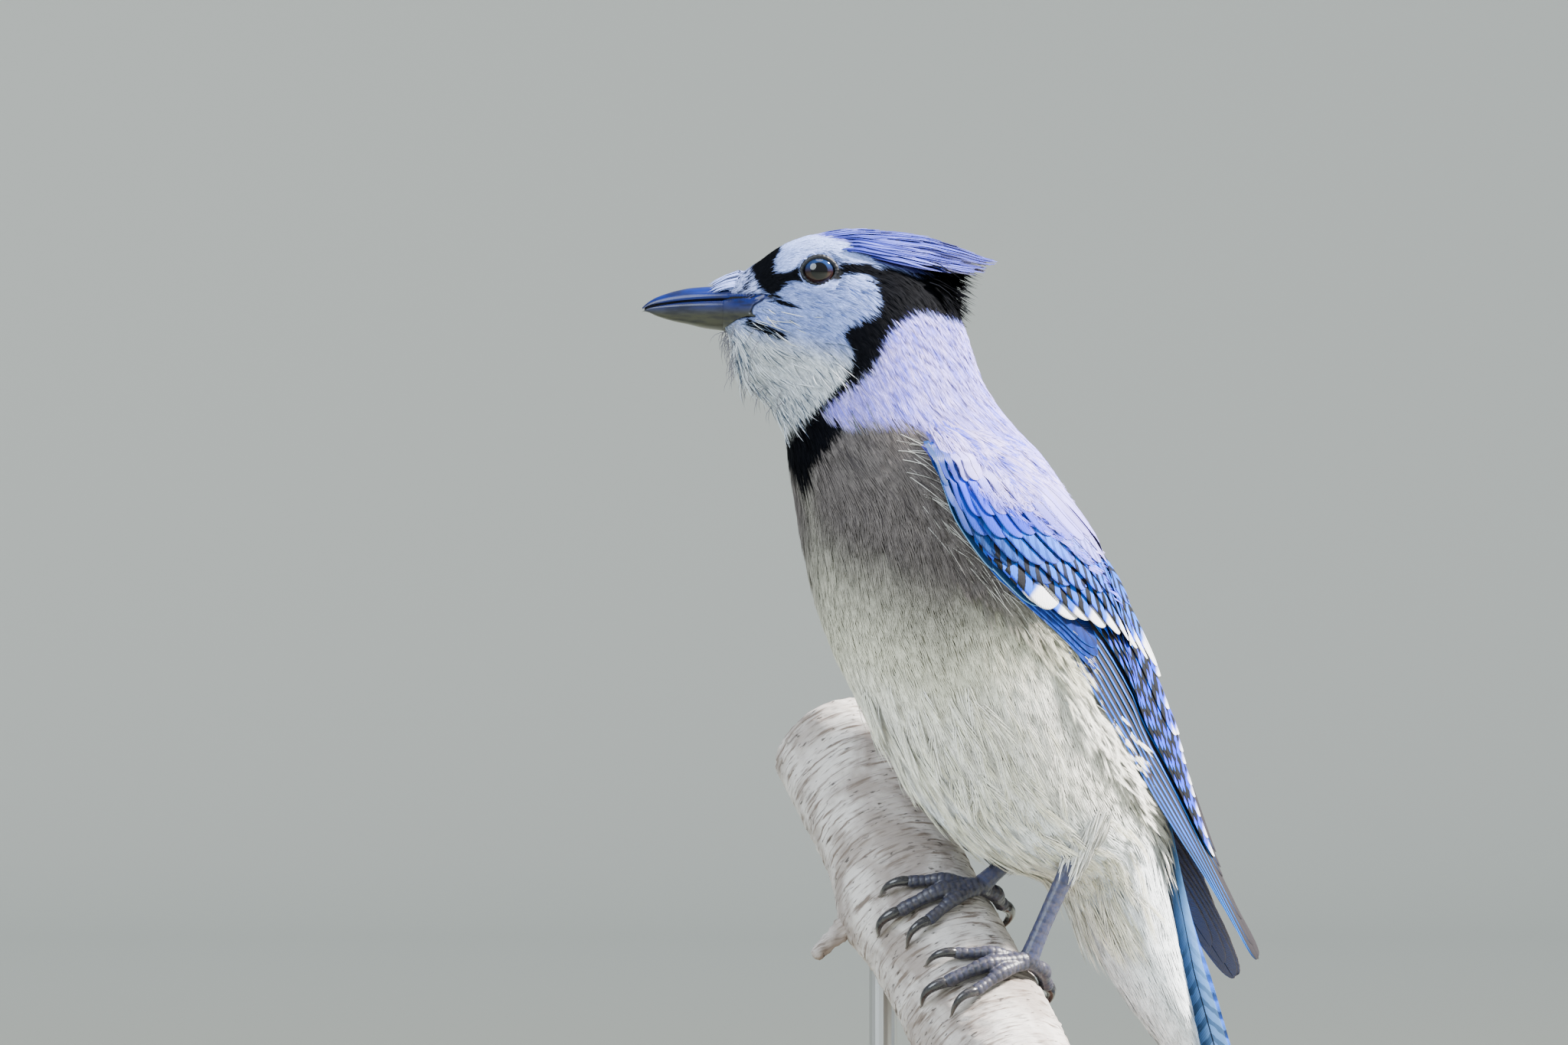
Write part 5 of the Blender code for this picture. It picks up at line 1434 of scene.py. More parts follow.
def nape_feathers(draw, coat):
    """Black feathers that stand out behind the nape, with a frayed end."""
    count = NAPE_FEATHERS
    height = draw.uniform(0, 1, count)
    side = draw.normal(0, 1, count).clip(-2, 2) * 4.2
    start = head_point(draw.uniform(-24, -13, count), lerp(252.0, 261.5, height), side * 1.1)
    end_across = lerp(-5.6, -2.8, height ** 0.7) + draw.uniform(-3.4, 0.6, count) - np.abs(side) * 0.55
    end = head_point(end_across, lerp(246.5, 259.0, height) + draw.normal(0, 0.5, count), side)
    middle = (start + end) / 2 + UP * 1.6
    share = np.linspace(0, 1, len(NAPE_WIDTHS))[None, :, None]
    spine = curve(start[:, None], middle[:, None], end[:, None], share)
    outward = np.broadcast_to((0.3, 0.0, 1.0), spine.shape)
    width = np.tile(NAPE_WIDTHS, (count, 1))
    colour = BLACK * draw.uniform(0.6, 1.8, count)[:, None]
    roots = np.stack((0.02 + side * 0.004 + 0.05, 0.3 + height * 0.03), -1)
    tufts("nape_black", spine, outward, width, width * 0.3, roots, colour, coat, "lavender_plumage")


# Where the bill's horn shows the photograph's warm lower and blue upper half, in metres of height.
BILL_LEVELS = (0.2496, 0.2532)
# The blue of the upper half is a painted sheen, the sky's reflection on the horn.
BILL_WARM, BILL_SKY_SHEEN, BILL_DARK = tone(54, 54, 42), tone(4, 28, 98), tone(18, 20, 30)
BILL_ROWS, BILL_SIDES = 60, 25
BILL_THINNEST = 0.06
MOUTH_GAP = (0.1, 0.42)
# The horn runs back to this place of the body, and is sunk where feathers cover it.
HORN_END = 5.5
HORN_ROWS, HORN_SIDES = 50, 160
HORN_SUNK, MOUTH_GROOVE = -2.4, 1.0
MOUTH_TUBE_SIDES = 12
# Pixels along the mouth line where it crosses the horn, and the half width of the line.
MOUTH_PATH = ((926, 392), (960, 390.5), (1012, 390))
MOUTH_POINTS = 24
MOUTH_GIRTH = ((0, 0.22), (18, 0.2), (23, 0.05))


def bill_finish():
    finish = Finish("bill_horn", 0.30, 0.3, Coat_Weight=0.1, Coat_Roughness=0.2)
    grain = finish.noise(900.0, 4.0, stretch=(0.25, 0.25, 1.0))
    level = finish.span(finish.parts(finish.place)[2], *BILL_LEVELS)
    # Above the levels the horn gets the painted blue sheen of the sky.
    colour = finish.mix(level, BILL_WARM, BILL_SKY_SHEEN)
    colour = finish.mix(finish.span(grain, 0.4, 0.7, 0.0, 0.7), colour, BILL_DARK)
    finish.bump(grain, 0.15, 0.0002)
    return finish.colour(colour)


def bill_rings(last, rows, ring):
    """Points and triangles of a loft over the bill, from a function of its sizes at each row."""
    rings = np.array([ring(*look_up(BILL_TABLE, place)) for place in np.linspace(0, last, rows)])
    return rings.reshape(-1, 3), loft_faces(rows, rings.shape[1])


def upper_ring(across, mouth, culmen, edge, half):
    arc = np.linspace(0, math.pi, BILL_SIDES)
    height = mouth + MOUTH_GAP[0] + (culmen - mouth - MOUTH_GAP[0]) * np.sin(arc) ** 0.8
    return head_point(across, height, max(half, BILL_THINNEST) * np.cos(arc))


def lower_ring(across, mouth, culmen, edge, half):
    arc = np.linspace(0, math.pi, BILL_SIDES)
    top = mouth - MOUTH_GAP[1]
    return head_point(across, top - max(top - edge, 0.1) * np.sin(arc) ** 0.8,
                      max(half, BILL_THINNEST) * np.cos(arc) * 0.97)


def mouth_ring(across, mouth, culmen, edge, half):
    turn = ring_of(MOUTH_TUBE_SIDES)
    return head_point(across + 0.2, mouth - 0.16 + 0.40 * np.sin(turn), half * 0.97 * np.cos(turn))


def build_bill():
    """Slate bill with a ridge, its horn in the face and the dark line between its halves."""
    made = bill_finish()
    last = len(BILL) - 1
    for name, ring in (("bill_upper", upper_ring), ("bill_lower", lower_ring)):
        item = new_mesh(name + "_horn", *bill_rings(last, BILL_ROWS, ring), made)
        piece(outward_faces(item), "bill_horn", name)
    # Horn that reaches back into the face, sunk below the skin outside its own border.
    place, angle = np.meshgrid(np.linspace(0.0, HORN_END, HORN_ROWS), ring_of(HORN_SIDES), indexing="ij")
    pixels = left_pixel(place, angle)
    raised = lerp(HORN_SUNK, 0.0, mask(pixels, BARE, 5.0)) - MOUTH_GROOVE * mask(pixels, MOUTH_LINE, 3.0)
    points = surface(place, angle, raised).reshape(-1, 3)
    item = new_mesh("bill_base_horn", points, loft_faces(HORN_ROWS, HORN_SIDES), made)
    piece(outward_faces(item), "bill_horn")
    # The mouth line runs on over this horn, on both sides.
    parts = [bill_rings(last - 0.3, 30, mouth_ring)]
    x = np.linspace(MOUTH_PATH[0][0], MOUTH_PATH[-1][0], MOUTH_POINTS)
    spots = np.stack((x, between(MOUTH_PATH, x)), -1)
    place, angle = body_spots(spots, (0.0, HORN_END, 200), (-math.pi, -0.1, 300))
    girth = between(MOUTH_GIRTH, np.arange(MOUTH_POINTS))
    parts += [tube(surface(place, angle * side, -0.05), girth, 8) for side in (1, -1)]
    # The line is a near-black tube, painted shade in the seam between the bill's halves.
    dark = Finish("mouth_seam_shade", 0.7, 0.1)
    item = new_mesh("mouth_line", *join(parts), dark.colour((0.004, 0.004, 0.005, 1.0)))
    piece(outward_faces(item), "bill_horn")


# Eyes: spans of the pupil's edge and of the iris's dark rim, in metres from the front.
PUPIL_EDGE, IRIS_RIM = (0.00175, 0.0020), (0.0031, 0.0036)
IRIS_DARK, IRIS_BROWN, IRIS_SKY_REFLECTION = tone(16, 9, 6), tone(46, 24, 12), tone(22, 44, 84)
PUPIL, RIM_DARK = tone(4, 4, 5), tone(10, 8, 8)
# Heights in mm round the eye's centre over which the painted reflection of the sky comes into the iris.
SKY_LEVELS = (-0.6, 1.4)
LID_DARK, LID_GREY = tone(7, 7, 10), tone(24, 26, 36)
# The lid is a ring round the eye, this far out from the eye's centre.
LID_STEPS, LID_SIDES = 96, 12
LID_OUT = 2.5
LID_HALF_LENGTH, LID_HALF_HEIGHT, LID_GIRTH = 3.62, 3.0, 0.47


def eye_finish(side_name, pole):
    """Brown iris round a black pupil, with a painted reflection of the sky's blue in its upper half."""
    finish = Finish("eye_" + side_name, 0.08, 0.35, Coat_Weight=0.2, Coat_Roughness=0.05)
    reach = finish.node("ShaderNodeVectorMath", operation="DISTANCE")
    finish.feed(reach.inputs[0], finish.place)
    reach.inputs[1].default_value = tuple((pole + SHIFT) * MM)
    far = reach.outputs["Value"]
    iris = finish.mix(finish.noise(2200.0, 3.0), IRIS_DARK, IRIS_BROWN)
    low, high = ((EYE_HEIGHT + level) * MM for level in SKY_LEVELS)
    iris = finish.mix(finish.span(finish.parts(finish.place)[2], low, high), iris, IRIS_SKY_REFLECTION)
    colour = finish.mix(finish.span(far, *PUPIL_EDGE), PUPIL, iris)
    return finish.colour(finish.mix(finish.span(far, *IRIS_RIM), colour, RIM_DARK))


def lid_finish(side_name):
    lid = Finish("lid_" + side_name, 0.5, 0.4)
    lid.bump(lid.noise(2500.0, 3.0), 0.5, 0.0002)
    return lid.colour(lid.mix(lid.noise(1500.0), LID_DARK, LID_GREY))


def build_eyes():
    """Dark brown eyes with a black pupil, wet surface and a ring of bare lid."""
    for side_name, side in SIDES.items():
        centre = head_point(EYE_ACROSS, EYE_HEIGHT, EYE_SIDE * side)
        outward = HEAD_SIDE * side
        made = eye_finish(side_name, centre + outward * EYE_RADIUS)
        work = bmesh.new()
        bmesh.ops.create_uvsphere(work, u_segments=48, v_segments=32, radius=EYE_RADIUS)
        points = np.array([vertex.co for vertex in work.verts]) + centre
        bmesh.ops.triangulate(work, faces=work.faces)
        # The triangles come in another order at each run, so they are put in one of their own.
        faces = sorted(lowest_first([vertex.index for vertex in face.verts]) for face in work.faces)
        work.free()
        piece(outward_faces(new_mesh("eyeball_" + side_name, points, faces, made)), "eye", "eye_" + side_name)
        around, through = ring_of(LID_STEPS), ring_of(LID_SIDES)
        middle = centre + outward * LID_OUT
        x = LID_HALF_LENGTH * (1 + 0.05 * np.cos(around * 2)) * np.cos(around)
        z = LID_HALF_HEIGHT * np.sin(around) * np.abs(np.sin(around)) ** 0.12
        ring = (middle[None] + HEAD_WAY * x[:, None] + UP * z[:, None]
                - outward * 0.25 * np.cos(around * 2)[:, None])
        away = unit(ring - middle)
        girth = (LID_GIRTH + 0.05 * np.sin(around * 24) + 0.10 * np.sin(around))[:, None, None]
        points = (ring[:, None] + away[:, None] * (np.cos(through)[None, :, None] * girth)
                  + outward * (np.sin(through)[None, :, None] * girth * 0.9))
        faces = loft_faces(LID_STEPS, LID_SIDES, hoop=True)
        item = new_mesh("eyelid_" + side_name, points.reshape(-1, 3), faces, lid_finish(side_name))
        piece(outward_faces(item), "eye")


# Legs and feet

# Each shin and toe is a tube along a line; a shin's girth is read at mm from the foot.
LINE_STEPS = 40
LEG_SIDES = 14
LEG_OVERLAP = 6.0
TARSUS_GIRTH = ((0, 1.3), (3.5, 1.14), (9, 1.04), (17, 1.08), (24, 1.22), (30, 1.35))
TARSUS_BOW = np.array((-0.6, 0.0, 0.2))
JOINT_REACH, JOINT_GIRTH = 1.2, (1.3, 2.05, 1.3)
VOXEL = 0.24
# Scutes: their pitch and how far they stand out, on the leg and on the toes.
LEG_PITCH, TOE_PITCH = 2.3, 1.35
LEG_RELIEF, TOE_RELIEF, PEBBLE_RELIEF = 0.08, 0.15, 0.10
LEG_FRONT = np.array((0.6, 0.75, 0.0))
LEG_DARK, LEG_BLUE, TOE_DARK = tone(12, 14, 25), tone(56, 61, 92), tone(30, 29, 34)
SCUTE_DUST, CLAW_DUST = tone(92, 84, 78), tone(70, 66, 62)
CLAW_DARK, CLAW_PALE = tone(30, 30, 36), tone(112, 104, 96)
# A claw starts inside its toe, and its girth is a share of the toe's radius.
CLAW_STEPS, CLAW_SIDES = 24, 16
CLAW_SUNK, CLAW_MORE, CLAW_ARCH = 1.2, 2.0, 1.9
CLAW_GIRTH = ((0, 0.55), (0.15, 0.72), (0.5, 0.52), (0.85, 0.24), (1.0, 0.06))


def toe_point(side_name, toe, travel, spread, height):
    """Point over the branch at a distance along a toe; spread is how far the toes have fanned."""
    along, degrees = FEET[side_name]
    turn = -toe.fan * (1 if side_name == "left" else -1) if toe.way < 0 else 0.0
    angle = math.radians(degrees) + toe.way * travel / (PERCH_RADIUS + toe.radius)
    return perch_point(along + turn * spread, angle, height)


def toe_line(side_name, toe):
    """Centres and radii along one toe, with swellings at its joints and a rounded end."""
    share = np.linspace(0.0, 1.0, LINE_STEPS)
    travel = share * toe.length
    girth = toe.radius * lerp(1.02, 0.80, share) * (1.0 + 0.10 * np.cos(share * 4 * math.pi))
    girth = girth * np.sqrt(np.clip(1 - (np.maximum(share - 0.93, 0) / 0.075) ** 2, 0.05, 1))
    return toe_point(side_name, toe, travel, travel, girth + 0.05 + 0.4 * (1 - share)), girth


def leg_line(side_name):
    reach = TARSUS_LENGTH[side_name] + LEG_OVERLAP
    share = np.linspace(0.0, 1.0, LINE_STEPS)
    bow = np.sin(share * math.pi) * 0.5
    centres = foot_joint(side_name) + leg_way(side_name) * (share * reach)[:, None]
    return centres + TARSUS_BOW * bow[:, None], TARSUS_RADIUS * between(TARSUS_GIRTH, share * reach)


def build_leg(side_name, scutes):
    """Scaled leg and toes, fused, with the scutes raised over the fused form."""
    lines = [toe_line(side_name, toe) for toe in TOES] + [leg_line(side_name)]
    shapes = [tube(centres, girth, LEG_SIDES) for centres, girth in lines]
    joint = foot_joint(side_name)
    shapes.append(tube([joint - UP * JOINT_REACH, joint, joint + UP * JOINT_REACH], JOINT_GIRTH, LEG_SIDES))
    fused = outward_faces(new_mesh("leg_" + side_name, *join(shapes), scutes))
    apply_modifier(fused, "REMESH", mode="VOXEL", voxel_size=VOXEL * MM)
    mesh = fused.data
    size = len(mesh.vertices)
    points, normals = np.zeros(size * 3), np.zeros(size * 3)
    mesh.vertices.foreach_get("co", points)
    mesh.vertices.foreach_get("normal", normals)
    points, normals = points.reshape(-1, 3) / MM - SHIFT, normals.reshape(-1, 3)
    # Each point is placed along the toe or leg whose line is nearest.
    centres = np.concatenate([centres for centres, girth in lines])
    runs = np.concatenate([run_along(centres) for centres, girth in lines])
    nearest = np.argmin(((points[:, None] - centres[None]) ** 2).sum(-1), 1)
    ways = unit(np.gradient(centres, axis=0))[nearest]
    run = runs[nearest] + dot(points - centres[nearest], ways)[:, 0]
    is_leg = nearest >= LINE_STEPS * len(TOES)
    facing = np.where(is_leg, -normals @ LEG_FRONT, normals @ perch_frame()[0])
    upper = ramp(facing, -0.35, 0.25)
    wave = np.abs(np.sin(math.pi * run / np.where(is_leg, LEG_PITCH, TOE_PITCH))) ** 0.45
    pebble = np.array([noise.noise(Vector(point) * 2.4) for point in points])
    scute = upper * (wave - 0.8) * np.where(is_leg, LEG_RELIEF, TOE_RELIEF)
    points = points + normals * (scute + (1 - upper) * pebble * PEBBLE_RELIEF)[:, None]
    mesh.vertices.foreach_set("co", ((points + SHIFT) * MM).astype(np.float32).ravel())
    lit = upper * np.where(is_leg, 0.45 + 0.4 * wave, wave) + (1 - upper) * (0.6 + pebble)
    shade = blend(LEG_DARK, LEG_BLUE, np.clip(lit, 0, 1))
    paint(mesh, np.where(is_leg[:, None], shade, blend(shade, TOE_DARK, 0.6)))
    mesh.shade_smooth()
    mesh.update()
    piece(fused, "leg_scales", "tarsus_" + side_name, "foot_" + side_name)


def build_claws(side_name, horn):
    """Curved claws, one at the end of each toe."""
    share = np.linspace(0.0, 1.0, CLAW_STEPS)
    tip = np.repeat(ramp(share, 0.55, 1.0), CLAW_SIDES)
    for toe in TOES:
        travel = toe.length - CLAW_SUNK + (toe.claw + CLAW_MORE) * share
        girth = toe.radius * between(CLAW_GIRTH, share)
        arch = CLAW_ARCH * np.sin(math.pi * np.minimum(1.0, share * 1.1)) ** 1.1
        spread = toe.length + (travel - toe.length) * 0.6
        centres = toe_point(side_name, toe, travel, spread, girth + 0.1 + arch)
        points, faces = tube(centres, girth, CLAW_SIDES)
        colours = blend(CLAW_DARK, CLAW_PALE, tip * 0.6)
        item = new_mesh(f"talon_{side_name}_{toe.name}", points, faces, horn, None, colours)
        piece(outward_faces(item), "claw_horn", f"claw_{side_name}_{toe.name}")


def build_legs():
    scutes = Finish("scutes", 0.40, 0.45)
    grain = scutes.noise(1400.0, 4.0)
    scutes.bump(grain, 0.35, 0.00025)
    dust = scutes.span(grain, 0.35, 0.7, 0.0, 0.35)
    scutes_made = scutes.colour(scutes.mix(dust, scutes.attribute("Col"), SCUTE_DUST))
    horn = Finish("claw_horn", 0.25, 0.5, Coat_Weight=0.2, Coat_Roughness=0.15)
    dust = horn.span(horn.noise(1500.0, 3.0), 0.35, 0.7, 0.0, 0.4)
    horn_made = horn.colour(horn.mix(dust, horn.attribute("Col"), CLAW_DUST))
    for side_name in SIDES:
        build_leg(side_name, scutes_made)
        build_claws(side_name, horn_made)


# Branch

BRANCH_ROWS, BRANCH_SIDES = 220, 116
BARK_DEPTH, END_ROUNDING = 0.35, 0.9
# Bark's relief: noise scales round and along the branch, for swellings, wrinkles and pits.
SWELL_SCALE, WRINKLE_SCALE, PIT_SCALE, PIT_START = (0.09, 0.06), (0.22, 1.15), (0.55, 0.9), 40.0
BARK_TONES = {"grey": tone(146, 136, 130), "pale": tone(198, 192, 188), "brown": tone(112, 100, 92),
              "speck": tone(52, 44, 40), "crack": tone(58, 48, 42)}
WOOD_PALE, WOOD_RING = tone(214, 190, 150), tone(176, 142, 100)
RING_SCALE = 190.0
TWIG_ROOT, TWIG_LENGTH, TWIG_DROOP = -3.0, 11.0, -1.2
TWIG_LEAN = np.array((-0.25, 0.0, -0.55))
TWIG_GIRTH = ((0, 3.6), (0.3, 2.3), (0.7, 1.8), (0.95, 1.5), (1.0, 0.5))
TWIG_STEPS, TWIG_SIDES = 26, 18


def bark_height(along, angle):
    x, y = math.cos(angle) * PERCH_RADIUS, math.sin(angle) * PERCH_RADIUS

    def rough(scale, start=0.0):
        return noise.noise(Vector((x * scale[0], y * scale[0], along * scale[1] + start)))

    pits = 0.22 * max(0.0, rough(PIT_SCALE, PIT_START) - 0.25) * 3
    return 0.45 * rough(SWELL_SCALE) + 0.26 * (1 - abs(rough(WRINKLE_SCALE)) * 2.6) + pits


def bark_finish(lean):
    """Pale grey bark with brown bands, specks and cracks across the branch."""
    finish = Finish("bark", 0.82, 0.25)
    axis = finish.node("ShaderNodeMapping")
    axis.inputs["Rotation"].default_value = lean
    finish.feed(axis.inputs["Vector"], finish.place)
    place = axis.outputs["Vector"]
    bands = finish.noise(1.0, 6.0, (130.0, 130.0, 1100.0), place=place)
    patches = finish.noise(1.0, 4.0, (75.0, 75.0, 60.0), 0.6, place=place)
    specks = finish.noise(1.0, 2.0, (420.0, 420.0, 1500.0), place=place)
    colour = finish.mix(finish.span(patches, 0.38, 0.62), BARK_TONES["grey"], BARK_TONES["pale"])
    colour = finish.mix(finish.span(bands, 0.50, 0.68), colour, BARK_TONES["brown"])
    colour = finish.mix(finish.span(specks, 0.62, 0.72, 0.0, 0.8), colour, BARK_TONES["speck"])
    colour = finish.mix(finish.span(bands, 0.40, 0.28, 0.0, 0.6), colour, BARK_TONES["crack"])
    finish.bump(finish.math("ADD", bands, finish.math("MULTIPLY", specks, 0.5)), 0.7, 0.0007)
    return finish.colour(colour)


def cut_finish(turned):
    """Sawn wood with year rings round the branch's axis."""
    wood = Finish("cut_wood", 0.75, 0.25)
    rings = wood.node("ShaderNodeMapping")
    rings.inputs["Rotation"].default_value = turned.to_euler()
    middle = Vector((PERCH_POINT + SHIFT) * MM)
    middle.rotate(turned)
    rings.inputs["Location"].default_value = (-middle.x, -middle.y, 0.0)
    wood.feed(rings.inputs["Vector"], wood.place)
    wave = wood.node("ShaderNodeTexWave", wave_type="RINGS", rings_direction="Z")
    for label, value in (("Scale", RING_SCALE), ("Distortion", 1.2), ("Detail", 3.0)):
        wave.inputs[label].default_value = value
    wood.feed(wave.inputs["Vector"], rings.outputs["Vector"])
    return wood.colour(wood.mix(wave.outputs["Fac"], WOOD_PALE, WOOD_RING))


def build_branch():
    """Cut length of branch with fine bark, a knot, a broken twig and sawn ends."""
    turned = Vector(PERCH_AXIS).to_track_quat("Z", "Y").inverted()
    along = np.linspace(PERCH_START, PERCH_END, BRANCH_ROWS)
    angle = ring_of(BRANCH_SIDES)
    height = np.array([[bark_height(row, turn) for turn in angle] for row in along])
    edge = ramp(along, PERCH_START + 1.0, PERCH_START) + ramp(along, PERCH_END - 1.0, PERCH_END)
    edge = END_ROUNDING * edge
    points = perch_point(along[:, None], angle[None], height - BARK_DEPTH - edge[:, None])
    bark = bark_finish(turned.to_euler())
    item = new_mesh("branch", points.reshape(-1, 3), loft_faces(BRANCH_ROWS, BRANCH_SIDES), bark)
    item.data.materials.append(cut_finish(turned))
    # The last faces are the fans that close both ends.
    is_end = np.arange(len(item.data.polygons)) >= len(item.data.polygons) - 2 * (BRANCH_SIDES - 2)
    item.data.polygons.foreach_set("material_index", is_end.astype(np.int32))
    item.data.polygons.foreach_set("use_smooth", ~is_end)
    piece(outward_faces(item), "bark", "perch")
    # Broken twig on the knot, low on the side that faces away from the bird.
    base = perch_point(KNOT_ALONG, KNOT_ANGLE, TWIG_ROOT)
    outward = unit(perch_point(KNOT_ALONG, KNOT_ANGLE, 5.0) - base)
    share = np.linspace(0, 1, TWIG_STEPS)
    droop = UP * TWIG_DROOP * (share ** 2)[:, None]
    centres = base + unit(outward + TWIG_LEAN) * (share * TWIG_LENGTH)[:, None] + droop
    ragged = np.array([[noise.noise(Vector((math.cos(turn) * 1.4, math.sin(turn) * 1.4, row * 9.0)))
                        for turn in ring_of(TWIG_SIDES)] for row in share])
    radii = between(TWIG_GIRTH, share)[:, None] * (1 + 0.28 * ragged)
    points, faces = tube(centres, radii, TWIG_SIDES)
    piece(outward_faces(new_mesh("twig_stub", points, faces, bark)), "bark")


# Stand

WALNUT_DARK, WALNUT_PALE, WALNUT_PORE = tone(70, 42, 26), tone(126, 82, 52), tone(38, 22, 14)
STEEL_DARK, STEEL_PALE = (0.48, 0.48, 0.49), (0.66, 0.66, 0.66)


def finish_stand():
    """Better finishes for the base and the rods, whose solids stay."""
    wood = Finish("walnut", 0.38, 0.45, Coat_Weight=0.35, Coat_Roughness=0.18)
    grain = wood.noise(1.0, 6.0, (12.0, 170.0, 170.0), 1.2)
    pores = wood.noise(1.0, 2.0, (90.0, 1500.0, 1500.0))
    colour = wood.mix(wood.span(grain, 0.35, 0.65), WALNUT_DARK, WALNUT_PALE)
    colour = wood.mix(wood.span(pores, 0.60, 0.72, 0.0, 0.7), colour, WALNUT_PORE)
    wood.bump(pores, 0.12, 0.0002)
    walnut = wood.colour(colour)
    steel = Finish("brushed_rod", 0.30, 0.5, Metallic=1.0)
    brush = steel.noise(1.0, 3.0, (2600.0, 2600.0, 30.0))
    steel.bump(brush, 0.06, 0.00005)
    rod = steel.colour(steel.mix(brush, STEEL_DARK, STEEL_PALE))
    for name, made in (("stand_base", walnut), ("stand_rod_upper", rod), ("stand_rod_lower", rod)):
        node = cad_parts[name]
        for holder in node.material_slots:
            holder.material = made
        if not node.material_slots:
            node.data.materials.append(made)


# Loose hairs and fringes

# Widths along a hair, and the way from which the photograph sees the bird.
STRAND_WIDTHS = np.array((0.8, 1.0, 0.9, 0.7, 0.0))
SEEN_FROM = np.array((-0.47, -0.88, 0.3))
THROAT_HAIRS, THROAT_HAIR_WIDTH = 1500, 0.17
CHIN_BRISTLES, CHIN_BRISTLE_WIDTH, CHIN_GREY = 110, 0.15, tone(120, 118, 124)
LEG_FEATHERS, LEG_FEATHER_WIDTH, LEG_FEATHER_LENGTH = 900, 0.34, 11.0
FRINGE_FEATHERS, FRINGE_BARB, FRINGE_DEPTH, FRINGE_SWAY = 420, 0.28, 1.2, 0.16
NASAL_TUFTS, NASAL_BLUE = 420, tone(150, 166, 232)
NASAL_SHARES = np.array((0.0, 0.4, 0.75, 1.0))
NASAL_WIDTHS = np.array((1.0, 1.0, 0.7, 0.0)) * 0.26


def strands(name, start, way, drop, length, width, colour, roots, coat, facing=SEEN_FROM):
    """Thin loose hairs that leave their root along way and bend towards drop."""
    t = np.linspace(0, 1, len(STRAND_WIDTHS))[None, :, None]
    spine = start[:, None] + (way[:, None] * t + drop[:, None] * t ** 2) * length[:, None, None]
    wide = np.tile(width * STRAND_WIDTHS, (len(start), 1))
    tufts(name, spine, np.broadcast_to(facing, spine.shape), wide, wide * 0.6, roots, colour, coat,
          "white_plumage")


def throat_hairs(draw, coat):
    count = THROAT_HAIRS
    place = draw.uniform(0.5, 10.0, count)
    angle = math.pi + draw.uniform(-1.5, 1.5, count)
    start = surface(place, angle, -0.4)
    normal = unit(surface(place, angle, 1.0) - surface(place, angle, 0.0))
    lie = unit(slopes(surface, place, angle)[0])
    way = unit(lie + normal * draw.uniform(0.12, 0.45, count)[:, None] + draw.normal(0, 0.22, (count, 3)))
    colour = blend(THROAT, THROAT_STREAK * 0.6, draw.random(count) < 0.4)
    pixels = left_pixel(place, angle)
    keep = mask(pixels, COLLAR, 30.0) + mask(pixels, BARE, 4.0) < 0.02
    length = draw.uniform(3.5, 6.5, count)
    start, way, drop, length, colour, roots = (values[keep] for values in (
        start, way, lie * 0.3 - normal * 0.25, length, colour, bake_spot(place, angle)))
    strands("throat_hairs", start, way, drop, length, THROAT_HAIR_WIDTH, colour, roots, coat)


def chin_bristles(draw, coat):
    count = CHIN_BRISTLES
    place = draw.uniform(0.4, 8.0, count)
    angle = math.pi + draw.normal(0, 0.55, count)
    way = unit(np.array((-0.62, 0.33, -0.45)) + draw.normal(0, 0.25, (count, 3)))
    drop = np.array((0.45, -0.2, -0.35)) + draw.normal(0, 0.1, (count, 3))
    strands("chin_bristles", surface(place, angle, -0.5), way, drop, draw.uniform(3.0, 7.5, count),
            CHIN_BRISTLE_WIDTH, np.broadcast_to(CHIN_GREY, (count, 3)), bake_spot(place, angle), coat)


def leg_feathers(draw, side_name, coat):
    count = LEG_FEATHERS
    way = leg_way(side_name)
    top = foot_joint(side_name) + way * (TARSUS_LENGTH[side_name] + 3.5)
    turn = draw.uniform(0, TAU, count)
    first = unit(np.cross(way, (0.0, 1.0, 0.0)))
    ring = first * np.cos(turn)[:, None] + np.cross(way, first) * np.sin(turn)[:, None]
    rise = draw.uniform(0.0, 1.0, count)
    base = top + way * (rise * LEG_FEATHER_LENGTH)[:, None] + ring * lerp(1.9, 3.8, rise)[:, None]
    fall = unit(-way + ring * 0.10 + draw.normal(0, 0.08, (count, 3)))
    colour = blend(BELLY_WHITE, THROAT_STREAK, draw.random(count) * 0.35)
    strands("leg_feathers_" + side_name, base, fall, -ring * 0.18 + (0.06, 0.0, -0.05),
            draw.uniform(4.5, 8.0, count), LEG_FEATHER_WIDTH, colour,
            np.stack((turn / TAU, 0.8 + rise * 0.05), -1), coat)


def belly_fringe(draw, coat):
    count = FRINGE_FEATHERS
    place = draw.uniform(16.5, 22.8, count)
    angle = math.pi + draw.normal(0, 0.75, count)
    length, half, tip = (draw.uniform(*ends, count) for ends in ((10.0, 16.0), (0.8, 1.5), (0.5, 3.2)))
    spine, outward = barbed(draw, coat_sheet, place, angle, length, half, FRINGE_DEPTH, tip, FRINGE_SWAY)[:2]
    colour = blend(BELLY_WHITE, CREAM, draw.random(count * BARBS))
    roots = bake_spot(np.repeat(place, BARBS), np.repeat(angle, BARBS))
    tufts("belly_fringe", spine, outward, *barb_shapes(FRINGE_BARB, count), roots, barb_shades(colour), coat,
          "white_plumage")


